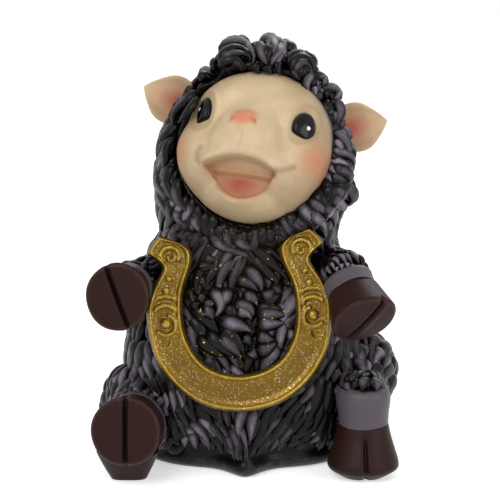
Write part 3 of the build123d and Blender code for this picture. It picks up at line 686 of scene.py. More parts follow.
# Strands of the forelock, the temple curls, the ruff and the chest, as they are seen from the front: half
# width, how much paint is brushed on, then places x, z on an upright plane, carried along the line of sight
# to the form
headStrands = (
    (1.3, 1.1, -7.8, 114.6, -6.2, 117.5, -3.1, 119.2, 0.2, 118.3, 2.5, 116.2, 2.7, 114.2, 1.5, 112.6),
    (1.1, 0.5, -8, 112.9, -6, 115.7, -3.1, 117.2, 0.2, 116.5, 1.5, 115.1, 1.2, 113.2),
    (0.9, 0.8, -7.2, 112.6, -4.7, 115.1, -1.8, 115.7, 0.9, 115.1, 1.4, 114.2),
    (0.9, 0.5, -7.7, 111.3, -5.7, 113.6, -3.1, 114.1, -0.8, 112.9, -0.1, 111.1),
    (0.8, 0.7, -4, 113.6, -2.4, 113.1, -1.3, 111.9, -0.8, 110.9),
    (1, 0.8, -2.6, 119.5, -0.8, 120.3, 1.2, 119.7, 2, 118.8),
    (0.9, 0.6, -8.3, 114.7, -8.7, 112.9, -8.5, 111.1),
    (1, 0.9, 2.5, 119.3, 4.1, 117.8, 4.6, 115.5, 5.5, 113.6, 6.8, 111.9),
    (1.6, 1.1, 2.8, 119.6, 5.8, 120.4, 7.7, 118.8, 7.6, 116.5, 6.6, 114.2),
    (1, 0.5, 5.8, 118.8, 6.4, 116.9, 6.1, 114.9, 7.1, 112.9),
    (1.2, 1, 8.7, 119.5, 10.4, 118.5, 9.1, 115.9, 7.4, 113.6, 7.1, 111.6),
    (1, 0.9, 10.8, 118.8, 11, 117.5, 9.7, 115.5, 8.7, 113.2, 9.1, 110.3),
    (1, 0.3, 1.9, 112.9, 3.2, 111.6, 3.5, 110.3),
    (1, 0.4, 5.5, 112.9, 6.4, 111.3, 7.4, 110.1),
    (1, 0.5, 9.1, 114.2, 9.1, 111.9, 9.7, 109.8),
    (1.2, 0.4, 10.9, 116.2, 12, 117.5, 14, 117.4, 15.8, 116.2),
    (1.2, 1.1, 13, 112.3, 12.3, 114.2, 14.3, 115.7, 17.2, 115.7, 19.5, 113.9, 19.6, 111.9),
    (1, 0.4, 14, 110, 13.3, 112.3, 14.6, 114.4, 17.2, 114.4, 18.9, 112.6, 18.9, 110.6),
    (0.9, 0.8, 15.1, 109, 14.5, 111.3, 15.6, 112.9, 17.6, 112.6, 18.4, 110.9),
    (0.9, 0.5, 16.1, 108.6, 15.8, 110.3, 16.9, 111.4, 18.3, 110.3),
    (0.8, 0.7, 13.3, 111.9, 14, 109.6, 15.6, 108.3),
    (1, 0.9, 18.9, 109.3, 20.2, 109.6, 22, 108.3, 22.1, 107, 20.6, 106),
    (0.9, 0.4, 17.6, 108.6, 18.9, 107.6, 20.3, 106),
    (1.2, 1, 20.9, 105, 22.6, 106, 24.9, 105.7, 26, 104, 25, 102.7, 23.2, 101.9),
    (1, 0.4, 21.6, 104, 23.2, 104.3, 24.2, 103.4),
    (1.1, 0.9, 23.2, 101, 25.2, 102.2, 26.6, 100, 26.2, 97, 25.3, 94.7),
    (0.9, 0.6, 23.1, 100, 23.3, 97.4, 24.5, 95, 25.3, 94.4),
    (0.8, 0.9, 24.4, 100, 25.4, 98.4, 24.8, 96),
    (1.2, 0.9, 23.3, 93, 25.6, 93.4, 27.8, 91.4, 29, 88, 28.5, 85.7),
    (1, 0.5, 23.2, 92, 23.7, 89, 25.4, 86.4, 27.3, 85),
    (1, 1, 25, 92, 26.6, 90, 27.7, 87.4),
    (0.9, 0.4, 24, 90.7, 25.3, 88, 27, 86),
    (1.3, 0.7, 23.4, 83, 26, 83.3, 28.7, 82, 29.7, 79.6, 29.1, 76.6),
    (1.2, 0.6, 23.7, 80.3, 26.4, 80.7, 28.4, 79.3),
    (1.2, 0.9, 23.1, 76.9, 26.8, 76.9, 29.1, 75.3, 29.5, 73.2),
    (1, 0.6, -13.2, 109.8, -11.9, 111.1, -10, 110.9, -9, 109.8),
    (0.9, 0.5, -12.9, 108.8, -11.3, 109.8, -9.6, 109.1),
    (1.3, 1, -14.3, 105.7, -15.3, 103.6, -18.1, 100.8, -19.9, 98, -20.3, 95.2),
    (1.1, 0.5, -13.6, 104.3, -14.6, 100.8, -16.8, 98.3, -18.9, 96.2),
    (1.3, 0.8, -19.9, 95.2, -22.4, 92.3, -23.8, 88.8, -24.6, 84.5),
    (1.2, 0.5, -20.3, 93, -21.7, 89.5, -22.1, 85.3, -23.9, 81.7),
    (1.3, 0.9, -23.9, 83.1, -23.9, 79.6, -22.5, 76.7, -21.1, 73.1),
    (1.2, 0.8, -20.7, 84.5, -21.8, 80.3, -20.4, 76, -18.3, 71.7),
    (1.3, 0.9, -19, 81, -19, 76.7, -17.6, 73.1, -14.8, 70.2),
    (1.3, 1, -24.4, 77.9, -23.7, 75.1, -22.1, 72.6, -21.1, 69.4, -20.2, 66.6),
    (1.2, 0.8, -21.1, 75.1, -20.9, 72.2, -20.3, 69, -19.4, 66.6),
    (1.3, 1, -18.1, 73, -18.5, 70.2, -17.4, 67.8, -16.6, 66.2),
    (1, 0.5, -16.2, 70.2, -16.2, 67.8, -14.6, 65.8, -12.2, 63.8),
    (1.2, 1, -14.2, 71, -13.8, 68.6, -12.6, 66.2, -11.1, 64.2),
    (1, 0.6, -12.2, 69, -11.8, 66.6, -9.9, 64.2, -8.3, 62.5),
    (1.5, 1.1, -10.2, 67.8, -9.5, 65, -7.5, 62.5, -4.3, 60.5, -0.3, 58.9, 3.2, 57.1),
    (1.2, 0.9, -6.3, 67, -5.1, 64.6, -4.3, 62.1, -1.9, 60.1),
    (1, 0.3, -8.3, 67, -7.1, 64.2, -5.9, 62.5),
    (1.5, 1.1, -2.7, 65.4, -1.1, 62.9, 1.6, 61.3, 4, 60.5),
    (1, 0.4, -4.3, 66.6, -2.7, 63.4, -0.3, 60.5, 3.2, 58.9),
    (1, 0.3, 1.2, 66.2, 2, 63.4, 3.6, 61.3),
    (1, 0.4, 5.2, 66.6, 4.8, 63.8, 5.6, 60.9, 6, 58.5),
    (1.1, 0.6, 6.8, 67, 7.2, 64.2, 6.8, 61.3),
    (1, 0.4, 10, 68.2, 9.2, 65.4, 10, 63.4),
    (1.2, 0.6, 13.1, 71, 13.1, 68.2, 13.9, 66.6),
    (1.4, 1, 17.5, 71.8, 19.4, 70.2, 21.4, 67.8, 23, 65.4),
    (1.3, 0.9, 20.6, 73, 23.4, 71.8, 25, 69.4, 25.4, 66.6),
    (1.5, 1, 23.4, 75.9, 25.7, 74.2, 27.7, 72.6, 27.4, 70.6),
    (1.5, 1, 26.5, 79.5, 28.9, 77.5, 30.1, 75.1, 28.5, 72.6),
    (1, 0.3, 19.9, 68.2, 21.5, 65.4, 23.1, 63.4),
)
chestStrands = (
    (1.3, 1.1, -8.7, 54, -8.2, 51.8, -6.7, 49.7, -6.7, 47.2, -8.5, 44.8),
    (1.2, 1.1, -5.2, 53.7, -4.9, 51.5, -5.8, 49.1, -7.3, 46.9),
    (1.1, 0.9, -10, 50.3, -9.7, 48.5, -8.8, 46.9),
    (1.2, 0.9, -11.6, 46.3, -10.6, 46.9, -9.1, 45.4, -8.5, 44.1),
    (1, 0.6, -12.9, 51.5, -11.8, 50.3, -11.5, 48.5),
    (1, 0.5, -13.5, 49.7, -13.3, 47.8, -12.7, 46.9),
    (1.4, 1.1, -1.1, 58.1, 1.4, 57.6, 3.2, 55.8, 4.4, 53.7, 4.5, 51.8),
    (1.1, 1, -2.9, 55.4, -0.1, 55, 2, 53.7, 3.8, 52.1),
    (1.2, 1, -1.1, 50.9, 1.4, 50.6, 2.9, 49.4, 3.5, 47.8),
    (1.2, 1.1, -2.8, 50.1, -1.3, 48.5, 0.8, 47.8, 2, 46.6, 2, 44.8),
    (1.2, 1.1, -2.8, 46.9, -0.7, 46.3, 1.1, 45.4, 1.8, 44.1),
    (1.6, 1.1, -5.8, 46.3, -4.6, 43.8, -1.9, 42.6, 0.5, 41.7, 2, 40.7),
    (1, 0.4, -4.9, 48.8, -3.7, 46.6, -1.3, 44.8),
    (1.2, 1, 4.7, 49.7, 6.5, 51.2, 8.3, 52.8),
    (1, 0.4, 5, 48.8, 7.7, 50.3, 10.4, 51.5),
    (1.3, 1, 3, 44.9, 5.9, 45.7, 9.2, 45.7, 11.4, 45.2),
    (1.3, 1, 3, 42.4, 5.9, 43.1, 9.2, 43.2, 11, 43.5),
    (1.2, 0.9, 2.9, 39.8, 5.3, 39.2, 8.3, 38.4),
    (1, 0.4, 2.9, 46.9, 5.9, 47.5, 11, 46.9),
    (1.3, 0.9, -7.6, 40.1, -5.5, 38.3, -3.1, 36.1, -0.7, 33.3),
    (1.1, 0.3, -7.3, 41.4, -4.3, 40.4, -1.9, 37.7, 0.2, 34.2),
    (1.1, 0.8, 1.4, 33, 2.3, 34.9, 2.6, 36.4),
    (1, 0.7, -0.7, 39.8, 0.8, 38.3, 1.4, 36.7),
    (1.2, 0.8, 2.9, 34.6, 5.9, 36.1, 9.2, 38),
    (1.1, 0.3, -10.3, 41.4, -8.5, 38.6, -5.5, 35.8, -2.8, 33.3),
    (1, 0.3, -13.3, 39.8, -10.9, 37.3, -7.9, 34.9, -5.5, 33.6),
    (1, 0.8, -11.1, 61.8, -9.3, 61.2, -7.5, 61.6),
    (1, 0.4, -13.5, 58.9, -10.5, 59.2, -7.2, 59.2),
)


drawnSettings = {"before": 25.0, "pace": 0.8, "deepest": 9.0, "lift": 0.3, "brush": 1.15}


# Each line of sight is followed from before the plane until the form's distance runs out. A line that
# misses the form stops at the deepest place behind the plane, and its strand is settled onto the form from
# there
def drawnSkins(rows, plane, field, proud, fuller):
    setting = drawnSettings
    eye = np.array(studio["camera"]) / mm
    t = np.linspace(0, 1, lockSettings["rings"])
    drawn = []
    for row in rows:
        stops = np.array(row[2:]).reshape(-1, 2)
        gaps = np.concatenate([[0], np.cumsum(np.linalg.norm(np.diff(stops, axis=0), axis=1))])
        xz = smoothCurve(gaps / gaps[-1], stops, t)
        drawn.append(np.stack([xz[:, 0], np.full(len(t), plane), xz[:, 1]], -1))
    drawn = np.stack(drawn)
    sight = unit(drawn - eye)
    p = drawn - sight * setting["before"]
    for _ in range(30):
        p = p + sight * (setting["pace"] * field(p))[..., None]
    reach = np.minimum(((p - drawn) * sight).sum(-1), setting["deepest"])
    p, _ = settle(field, drawn + sight * reach[..., None], 3)
    normals = unit(outward(field, p))
    ways = unit(np.gradient(p, axis=1))
    ways = unit(ways - (ways * normals).sum(-1, keepdims=True) * normals)
    widths = np.array([row[0] for row in rows])
    return lockSkins(field, p, normals, ways, widths * fuller, np.ones(len(rows)), lift=setting["lift"],
                     extra=strayed, glow=np.array([row[1] for row in rows]) * setting["brush"], proud=proud)


torsoSettings = {"rowStep": 5.4, "spacing": 6.6, "lowest": 8.5, "length": 15.5, "width": 4.9,
                 "skinDepth": 2.2, "middle": -0.5}


# Direction of the body's wool: down, and on the front in towards the middle, most on the chest
def bodyFlow(p):
    side = np.tanh((p[:, 0] - torsoSettings["middle"]) / 3.0)
    front = ease(-p[:, 1], 14, 27)
    chest = ease(p[:, 2], 30, 40)
    across = -side * front * (1.05 + 0.25 * chest)
    outwardPull = np.sign(p[:, 0]) * 0.25 * (1 - front)
    return np.stack([across + outwardPull, np.zeros(len(p)), -np.ones(len(p))], -1)


# Between the arms of the horseshoe
def inShoe(p):
    return (np.hypot(p[:, 0] + 1, (p[:, 2] - 47.5) * 0.85) < 13.5) & (p[:, 1] < -20)


def bodyRoots():
    rows = []
    table = np.array(body["rows"])
    for i, z in enumerate(np.arange(torsoSettings["lowest"] + 4, 62, torsoSettings["rowStep"])):
        wide, deep, _ = smoothCurve(table[:, 0], table[:, 1:], np.array([z / body["height"]]))[0]
        a, b = wide * body["halfWidth"], deep * body["halfDepth"]
        count = int(round(2 * math.pi * math.sqrt((a * a + b * b) / 2) / torsoSettings["spacing"]))
        angle = (np.arange(count) + 0.5 * (i % 2) + random(-0.22, 0.22, count)) * 2 * math.pi / count
        power = 2 / body["squareness"]
        x = a * np.sign(np.cos(angle)) * np.abs(np.cos(angle)) ** power
        y = b * np.sign(np.sin(angle)) * np.abs(np.sin(angle)) ** power - body["forward"]
        rows.append(np.stack([x, y, z + random(-1.2, 1.2, count)], -1))
    return np.concatenate(rows)


def buriedBy(p, deep):
    inside = np.zeros(len(p), bool)
    for side in ("right", "left"):
        inside |= forelegField(p, side) < -deep
        inside |= hindLegField(p, side) < -deep
    return inside


def makeTorso():
    setting = torsoSettings
    roots = bodyRoots()
    across, up, out = inFace(roots)
    hidden = buriedBy(roots, 2.0) | ((np.hypot(across, up) < 21) & (out > 0))
    roots = roots[~hidden]
    front = roots[:, 1] < -6
    flow = bodyFlow(roots)
    count = len(roots)
    chest = ease(-roots[:, 1], 16, 26)
    flow[:, 0] += random(-0.35, 0.35, count) * (1 - 0.5 * chest)
    side = np.sign(roots[:, 0] - setting["middle"])
    bends = random(-0.7, 0.7, count) * (1 - chest) + side * chest * random(0.35, 0.8, count)
    lengths = setting["length"] * random(0.82, 1.15, count)
    low = roots[:, 2] < 16
    lengths = np.where(low, np.minimum(lengths, np.maximum(roots[:, 2] - 4.0, 6.0)), lengths)
    widths = setting["width"] * random(0.85, 1.15, count)
    belly = (roots[:, 2] < 34) & (roots[:, 1] < -18)
    widths = np.where(belly, widths * 0.82, widths)
    glow = np.where(inShoe(roots), random(0.1, 0.6, count), random(0.3, 1.35, count))
    walked = walkLocks(trunkField, roots, flow, lengths, bends, random(0.2, 0.55, count),
                       random(0, 6.3, count))
    strands = random(2.4, 3.6, count)
    locks = {}
    groups = {"front": front & ~inShoe(roots), "back": ~front, "sunk": inShoe(roots)}
    for key, chosen in groups.items():
        locks[key] = lockSkins(trunkField, *(w[chosen] for w in walked), widths[chosen], strands[chosen],
                               extra=strayed, glow=glow[chosen], proud=-1.1 if key == "sunk" else 0.0)
    rows = np.linspace(0, body["top"], 70)
    angles = fullTurn(132)
    origins = np.stack(np.broadcast_arrays(0.0, -body["forward"], rows[:, None] + 0 * angles), -1)
    rays = np.stack(np.broadcast_arrays(np.cos(angles), np.sin(angles), 0 * rows[:, None]), -1)
    skin = formSkin(bodyField, origins, rays, 30.0, 0.0)
    p = skin["points"]
    inward = unit(outward(bodyField, p)) * np.array((1, 1, 0))
    rim = ease(p[:, 2], 2.2, 6.0)
    rounded = 1.2 * (1 - ease(p[:, 2], 0.0, 1.3))
    skin["points"] = p - inward * (setting["skinDepth"] * rim + rounded)[:, None]
    skin["marks"]["crest"] = clumpSettings["skinCrest"] + 0.5 * (1 - rim)
    drawn = drawnSkins(chestStrands, -30.0, bodyField, 1.7, 1.3)
    makePiece("torsoWoolFront", locks["front"] + locks["sunk"] + drawn + [skin], [wool], ("torso",))
    makePiece("torsoWoolBack", locks["back"], [wool])


makeTorso()


headSettings = {"centre": (2.5, -2.5, 85.0), "rowStep": 12.0, "spacing": 6.8, "length": 15.0, "width": 4.6,
                "skinDepth": 2.2, "radius": 27, "polar": (44, 176), "asidePolar": 50}


# Away from the face's axis, at an angle round it
def roundFace(azimuth):
    return np.cos(azimuth)[:, None] * facePlane["x"] + np.sin(azimuth)[:, None] * facePlane["y"]


def fromFace(polar, azimuth):
    x, y, z = facePlane["x"], facePlane["y"], facePlane["z"]
    return (np.cos(polar)[..., None] * z + np.sin(polar)[..., None]
            * (np.cos(azimuth)[..., None] * x + np.sin(azimuth)[..., None] * y))


# Wool of the head: rows of roots round the face's axis, combed away from the face and down
def headLocks():
    setting = headSettings
    centre, radius = np.array(setting["centre"]), setting["radius"]
    roots, combs = [], []
    for i, polar in enumerate(np.radians(np.arange(*setting["polar"], setting["rowStep"]))):
        count = max(int(round(2 * math.pi * radius * math.sin(polar) / setting["spacing"])), 3)
        azimuth = (np.arange(count) + 0.5 * (i % 2) + random(-0.2, 0.2, count)) * 2 * math.pi / count
        tilt = np.full(count, polar) + random(-0.06, 0.06, count)
        ray = fromFace(tilt, azimuth)
        away = fromFace(tilt + 0.01, azimuth) - ray
        roots.append(centre + radius * ray)
        combs.append(unit(away))
    roots, combs = np.concatenate(roots), np.concatenate(combs)
    aside = (roots - centre) @ facePlane["z"] > radius * math.cos(math.radians(setting["asidePolar"]))
    roots, normal = settle(headField, roots, 5)
    keep = (roots[:, 2] > 63) & (~aside | ((normal[:, 1] > -0.8) & (roots[:, 2] > 88)))
    keep &= ~((roots[:, 1] < -13) & (roots[:, 2] > 101))
    across, up, out = inFace(roots)
    keep &= ~((np.hypot(across, up) < 20.5) & (out > 0))
    roots, combs = roots[keep], combs[keep]
    count = len(roots)
    down = np.array((0, 0, -1.0))
    fall = (1.15 - 0.8 * ease(roots[:, 2], 96, 112))[:, None]
    heading = 0.6 * combs + fall * down + random(-0.3, 0.3, (count, 3))
    walked = walkLocks(trunkField, roots, heading, setting["length"] * random(0.85, 1.2, count),
                       random(-0.8, 0.8, count), random(0.3, 0.7, count), random(0, 6.3, count))
    return lockSkins(trunkField, *walked, setting["width"] * random(0.85, 1.15, count),
                     random(2.6, 4.0, count), extra=strayed)


# Beard: three rows of longer S-shaped locks that start under the edge of the face and hang over the chest.
# A row: distance from the face's axis, first and last angle round it, how many, length and width
beardSettings = {"rows": ((19.6, -190, 10, 20, 14.0, 3.9), (23.5, -168, -12, 14, 17.0, 4.6),
                          (28.5, -150, -30, 9, 16.0, 4.6)), "wave": 0.75}


def beardLocks():
    skins = []
    for ring, first, last, count, length, width in beardSettings["rows"]:
        azimuth = np.radians(np.linspace(first, last, count) + random(-3, 3, count))
        away = roundFace(azimuth)
        spot = facePlane["origin"] + ring * away + 5 * facePlane["z"]
        heading = 0.7 * away + np.array((0.12, 0, -0.9)) + random(-0.12, 0.12, (count, 3))
        side = np.where(np.cos(azimuth) < 0.1, 1.0, -1.0)
        walked = walkLocks(trunkField, spot, heading, length * random(0.9, 1.15, count),
                           side * random(0.1, 0.5, count), np.full(count, beardSettings["wave"]),
                           np.where(side > 0, 1.2, 4.3) + random(-0.4, 0.4, count))
        skins.extend(lockSkins(trunkField, *walked, width * random(0.9, 1.12, count), random(2.4, 3.2, count),
                               lift=1.5, extra=strayed, proud=0.8))
    return skins


# Fringe: one row of short locks round the upper edge of the face, from the wool in over the edge
fringeSettings = {"ring": 26.0, "first": 5, "last": 188, "count": 26, "length": 6.6, "width": 2.9}


def fringeLocks():
    setting = fringeSettings
    count = setting["count"]
    azimuth = np.radians(np.linspace(setting["first"], setting["last"], count) + random(-2, 2, count))
    away = roundFace(azimuth)
    along = np.cross(facePlane["z"], away)
    spot = facePlane["origin"] + setting["ring"] * away + 4 * facePlane["z"]
    heading = -away + random(-0.9, 0.9, count)[:, None] * along
    walked = walkLocks(trunkField, spot, heading, setting["length"] * random(0.8, 1.2, count),
                       random(-0.9, 0.9, count), random(0.3, 0.8, count), random(0, 6.3, count))
    return lockSkins(trunkField, *walked, setting["width"] * random(0.85, 1.15, count),
                     random(1.6, 2.6, count), lift=0.2, proud=0.7)


def makeHead():
    polar = np.linspace(0.02, math.pi - 0.02, 80)[:, None]
    azimuth = fullTurn(120)[None, :]
    rays = np.stack(np.broadcast_arrays(np.sin(polar) * np.cos(azimuth), np.sin(polar) * np.sin(azimuth),
                                        np.cos(polar)), -1)
    origins = np.broadcast_to(np.array(headSettings["centre"]), rays.shape)
    skin = formSkin(headField, origins, rays, 24.0, headSettings["skinDepth"])
    across, up, out = inFace(skin["points"])
    limit = 3.0 + 30 * ease(np.hypot(across, up), 20.8, 23.4)
    skin["points"] = skin["points"] - facePlane["z"] * np.maximum(out - limit, 0)[:, None]
    drawn = drawnSkins(headStrands, -12.0, trunkField, 1.3, 1.15)
    makePiece("headWool", headLocks() + beardLocks() + fringeLocks() + drawn + [skin], [wool],
              ("head",))


makeHead()


legSettings = {"fore": {"rows": 7, "around": 10, "length": 10.5, "width": 3.8, "firstRow": 0.02,
                        "lastRow": 0.8, "proud": -0.3},
               "hind": {"rows": 8, "around": 13, "length": 12.0, "width": 4.5, "firstRow": -0.35,
                        "lastRow": 0.58, "proud": -0.2},
               "skinDepth": 1.9,
               "cuff": {"fore": 5.2, "hind": 3.0}, "standingCuff": (26.2, -22.0)}


# Middle line and radius of a leg, smooth through its root, joint and hoof
def legLine(side, kind, t):
    limb = limbs[side]
    if kind == "fore":
        stations = (limb["root"], limb["wrist"], limb["foreTop"])
        radii = (limbRadius["root"], limbRadius["wrist"] + 0.2, limbRadius["foreTop"])
    else:
        stations = (limb["thigh"], limb["ankle"], limb["hindTop"])
        radii = (limbRadius["thigh"] - 1.5, limbRadius["ankle"][side] + 0.3, limbRadius["hindTop"][side])
    stations = np.array(stations)
    gaps = np.linalg.norm(np.diff(stations, axis=0), axis=1)
    knots = np.concatenate([[0], np.cumsum(gaps)]) / gaps.sum()
    return smoothCurve(knots, stations, t), smoothCurve(knots, np.array(radii), t)


# How far a place lies into the smooth cuff; on the standing foot the cuff is a level band
def intoCuff(p, side, kind):
    if side == "left" and kind == "hind":
        top, front = legSettings["standingCuff"]
        return np.minimum(top - p[..., 2], front - p[..., 1])
    start, end = (limbs[side][k] for k in (("wrist", "foreTop") if kind == "fore" else ("ankle", "hindTop")))
    way = unit(np.array(end) - np.array(start))
    return (p - np.array(end)) @ way + legSettings["cuff"][kind]


# Locks are cut short where the cuff begins
def trimmed(walked, blocked):
    rings = walked[0].shape[1]
    stop = np.where(blocked.any(1), blocked.argmax(1), rings) / rings
    keep = stop > 0.3
    at = stop[keep, None] * np.linspace(0, rings - 1, rings)
    return [between(values[keep], at) for values in walked]


# Leg skin: rays from the leg's middle line out to its form, fanned from straight back round the thigh to
# square across the line; the last stretch is the smooth cuff
def legSkin(side, kind):
    field = legField(side, kind)
    t = np.linspace(0, 1, 64)
    u = np.clip((t - 0.4) / 0.6, 0, 1)
    line, _ = legLine(side, kind, u)
    ahead, _ = legLine(side, kind, u + 0.02)
    behind, _ = legLine(side, kind, u - 0.02)
    way = unit(ahead - behind)
    upright = side == "left" and kind == "hind"
    across = unit(np.cross(way, (1.0, 0, 0) if upright else (0.02, -0.02, 1.0)))
    rise = np.cross(across, way)
    fan = (math.pi / 2 * ease(t, -0.01, 0.4))[:, None, None]
    angle = fullTurn(72)[None, :, None]
    rays = (-np.cos(fan) * way[:, None] + np.sin(fan) * (np.cos(angle) * across[:, None]
                                                          + np.sin(angle) * rise[:, None]))
    origins = np.broadcast_to(line[:, None], rays.shape)
    p = castRays(field, origins, rays, 6.0, 12)
    share = ease(intoCuff(p, side, kind), -0.3, 1.0)
    dents = 0.12 * np.sin(3 * angle[..., 0] + 9 * t[:, None]) * share
    p = p - rays * (legSettings["skinDepth"] * (1 - share) - dents)[..., None]
    p[..., 2] = np.maximum(p[..., 2], clumpSettings["lowest"])
    return oneSkin(p, {"crest": clumpSettings["skinCrest"], "cuff": share * 0.8})


def legLocks(side, kind):
    setting = legSettings[kind]
    field = legField(side, kind)
    combined = lambda p: softMin(field(p), trunkField(p), 2.0)
    roots, headings = [], []
    for i, t in enumerate(np.linspace(setting["firstRow"], setting["lastRow"], setting["rows"])):
        at = np.full(setting["around"], max(t, 0))
        line, radius = legLine(side, kind, at)
        ahead, _ = legLine(side, kind, at + 0.05)
        way = unit(ahead - line)
        across = unit(np.cross(way, (0.01, 0, 1.0)))
        rise = np.cross(across, way)
        angle = (np.arange(setting["around"]) + 0.5 * (i % 2) + random(-0.15, 0.15, setting["around"]))
        angle = angle[:, None] * 2 * math.pi / setting["around"]
        ray = np.cos(angle) * across + np.sin(angle) * rise
        ray = unit(ray + min(t, 0) * 3.0 * way)
        roots.append(line + ray * radius[:, None])
        headings.append(way * 0.9 + np.array((0, 0, -0.45)))
    roots, headings = np.concatenate(roots), np.concatenate(headings)
    seat, _ = settle(field, roots, 4)
    keep = (trunkField(seat) > -2.0) & (seat[:, 2] > 5)
    seat, headings = seat[keep], headings[keep]
    count = len(seat)
    walked = walkLocks(combined, seat, headings + random(-0.2, 0.2, (count, 3)),
                       setting["length"] * random(0.85, 1.15, count), random(-0.8, 0.8, count),
                       random(0.3, 0.6, count), random(0, 6.3, count))
    walked = trimmed(walked, intoCuff(walked[0], side, kind) > 0.9)
    count = len(walked[0])
    return lockSkins(combined, *walked, setting["width"] * random(0.85, 1.15, count), random(2.4, 3.6, count),
                     proud=setting["proud"])


def makeLegs():
    for side in ("right", "left"):
        for kind, nodeEnd in (("fore", "_foreleg"), ("hind", "_hind_leg")):
            skin = legSkin(side, kind)
            quads = skin["quads"]
            cuffQuads = skin["marks"]["cuff"][quads].mean(1) > 0.2
            woolSkin = dict(skin, quads=quads[~cuffQuads])
            cuffSkin = dict(skin, quads=quads[cuffQuads], tris=skin["tris"][:0], dress=1)
            makePiece(side + kind.capitalize() + "LegWool", legLocks(side, kind) + [woolSkin, cuffSkin],
                      [wool, cuff], (side + nodeEnd,))


makeLegs()


# Each hoof: its top's place, axes across, up and out of the sole, top and sole radii, the cleft's turn in
# degrees, and how the circles are stretched across and up
hoofSettings = {
    "right_fore": {"origin": (-32.79, -35.11, 53.54), "x": (0.9885, -0.1511, 0.0073), "y": (0, 0.048, 0.9988),
                   "z": (-0.1513, -0.9873, 0.0475), "radii": (7.1, 8.9), "turn": 20, "stretch": (0.98, 1.06)},
    "left_fore": {"origin": (29.57, -34.48, 52.64), "x": (0.9558, 0.2309, 0.1822), "y": (0, -0.6195, 0.785),
                  "z": (0.2941, -0.7503, -0.5921), "radii": (6.9, 8.75), "turn": -38, "stretch": (1.04, 0.98)},
    "right_hind": {"origin": (-31.21, -35.23, 14.92), "x": (0.99, -0.1389, 0.0235), "y": (0, 0.1671, 0.9859),
                   "z": (-0.1408, -0.9761, 0.1654), "radii": (9.0, 9.66), "turn": 0, "stretch": (1.0, 1.0)},
}
hoofShape = {"length": 10.0, "edge": 1.3, "dome": 0.5, "cleftWidth": 0.55, "cleftDepth": 1.5}


# Hoof: circles from top to sole with a rounded edge, then a slightly domed sole, and a cleft
# bell(distance from the cleft's line) deep across the sole and a little way up the wall
def hoofSkin(setting):
    shape = hoofShape
    topRadius, soleRadius = setting["radii"]
    length, edge = shape["length"], shape["edge"]
    wall = np.linspace(0, 1, 22)
    bend = np.linspace(0, math.pi / 2, 8)[1:]
    flat = np.linspace(1, 0.02, 34)[1:]
    wallRadius = topRadius + (soleRadius - topRadius) * wall
    radius = np.concatenate([wallRadius, soleRadius - edge + edge * np.cos(bend), (soleRadius - edge) * flat])
    out = np.concatenate([(length - edge) * wall, length - edge + edge * np.sin(bend),
                          length + shape["dome"] * (1 - flat ** 2)])
    angle = fullTurn(180)[None, :]
    sx, sy = setting["stretch"]
    wobble = 1 + 0.012 * np.sin(2 * angle + 1) + 0.008 * np.sin(5 * angle)
    x = radius[:, None] * np.cos(angle) * sx * wobble
    y = radius[:, None] * np.sin(angle) * sy * wobble
    turn = math.radians(setting["turn"])
    off = x * math.cos(turn) + y * math.sin(turn)
    onSole = ease(out, length - edge - 1.2, length - edge + 0.9)[:, None]
    cleft = bell(off, shape["cleftWidth"]) * onSole
    lips = bell(np.abs(off) - 1.5, 0.8) * onSole * 0.18
    z = out[:, None] - shape["cleftDepth"] * cleft + lips + 0 * x
    pull = 1 - 0.06 * cleft
    x, y = x * pull, y * pull
    points = placed(setting, x, y, z)
    rim = bell(np.hypot(x / sx, y / sy) - soleRadius + 0.5, 0.8) * onSole
    collar = bell(out, 1.2)[:, None]
    return points, {"edge": rim * 0.9 + 0.3 * collar + lips, "groove": cleft}


# Foot between the right hind sole and the ground: level slices from the sole's lower edge to a flat on the
# ground
footSettings = {"x": -32.3, "y": -38.3, "back": 5.6, "height": 9.6, "squareness": 0.6, "halfWidth": 8.6,
                "narrowing": 3.6, "halfDepth": 6.0, "thinning": 2.0}


def hindFoot():
    setting = footSettings
    t = np.linspace(0, 1, 14)
    angle = fullTurn(64)
    squareX, squareY = (np.sign(wave) * np.abs(wave) ** setting["squareness"]
                        for wave in (np.cos(angle), np.sin(angle)))
    halfX = (setting["halfWidth"] - setting["narrowing"] * t ** 1.2)[:, None]
    halfY = (setting["halfDepth"] - setting["thinning"] * t)[:, None]
    x = setting["x"] + halfX * squareX
    y = setting["y"] + setting["back"] * t[:, None] + halfY * squareY
    z = setting["height"] * (1 - t[:, None]) + 0 * x
    return oneSkin(np.stack([x, y, z], -1), {"edge": bell(t, 0.1)[:, None] * 0.2})


def makeHooves():
    for name, setting in hoofSettings.items():
        points, marks = hoofSkin(setting)
        skins = [oneSkin(points, marks)]
        if name == "right_hind":
            skins.append(hindFoot())
        side, kind = name.split("_")
        makePiece(side + kind.capitalize() + "Hoof", skins, [hoof], (name + "_hoof",))


makeHooves()

# Left hind hoof: stands on the ground, toes forward, cleft down the front. A row: height, radius, forward
# shift
standingHoof = {"centre": (33.0, -29.85), "rows": (
    (14.6, 6.9, 0.0), (11.0, 7.7, 0.5), (7.0, 8.9, 1.1), (4.2, 9.7, 1.5), (2.6, 9.5, 1.5), (0.9, 7.2, 1.4),
    (0.0, 5.8, 1.3))}


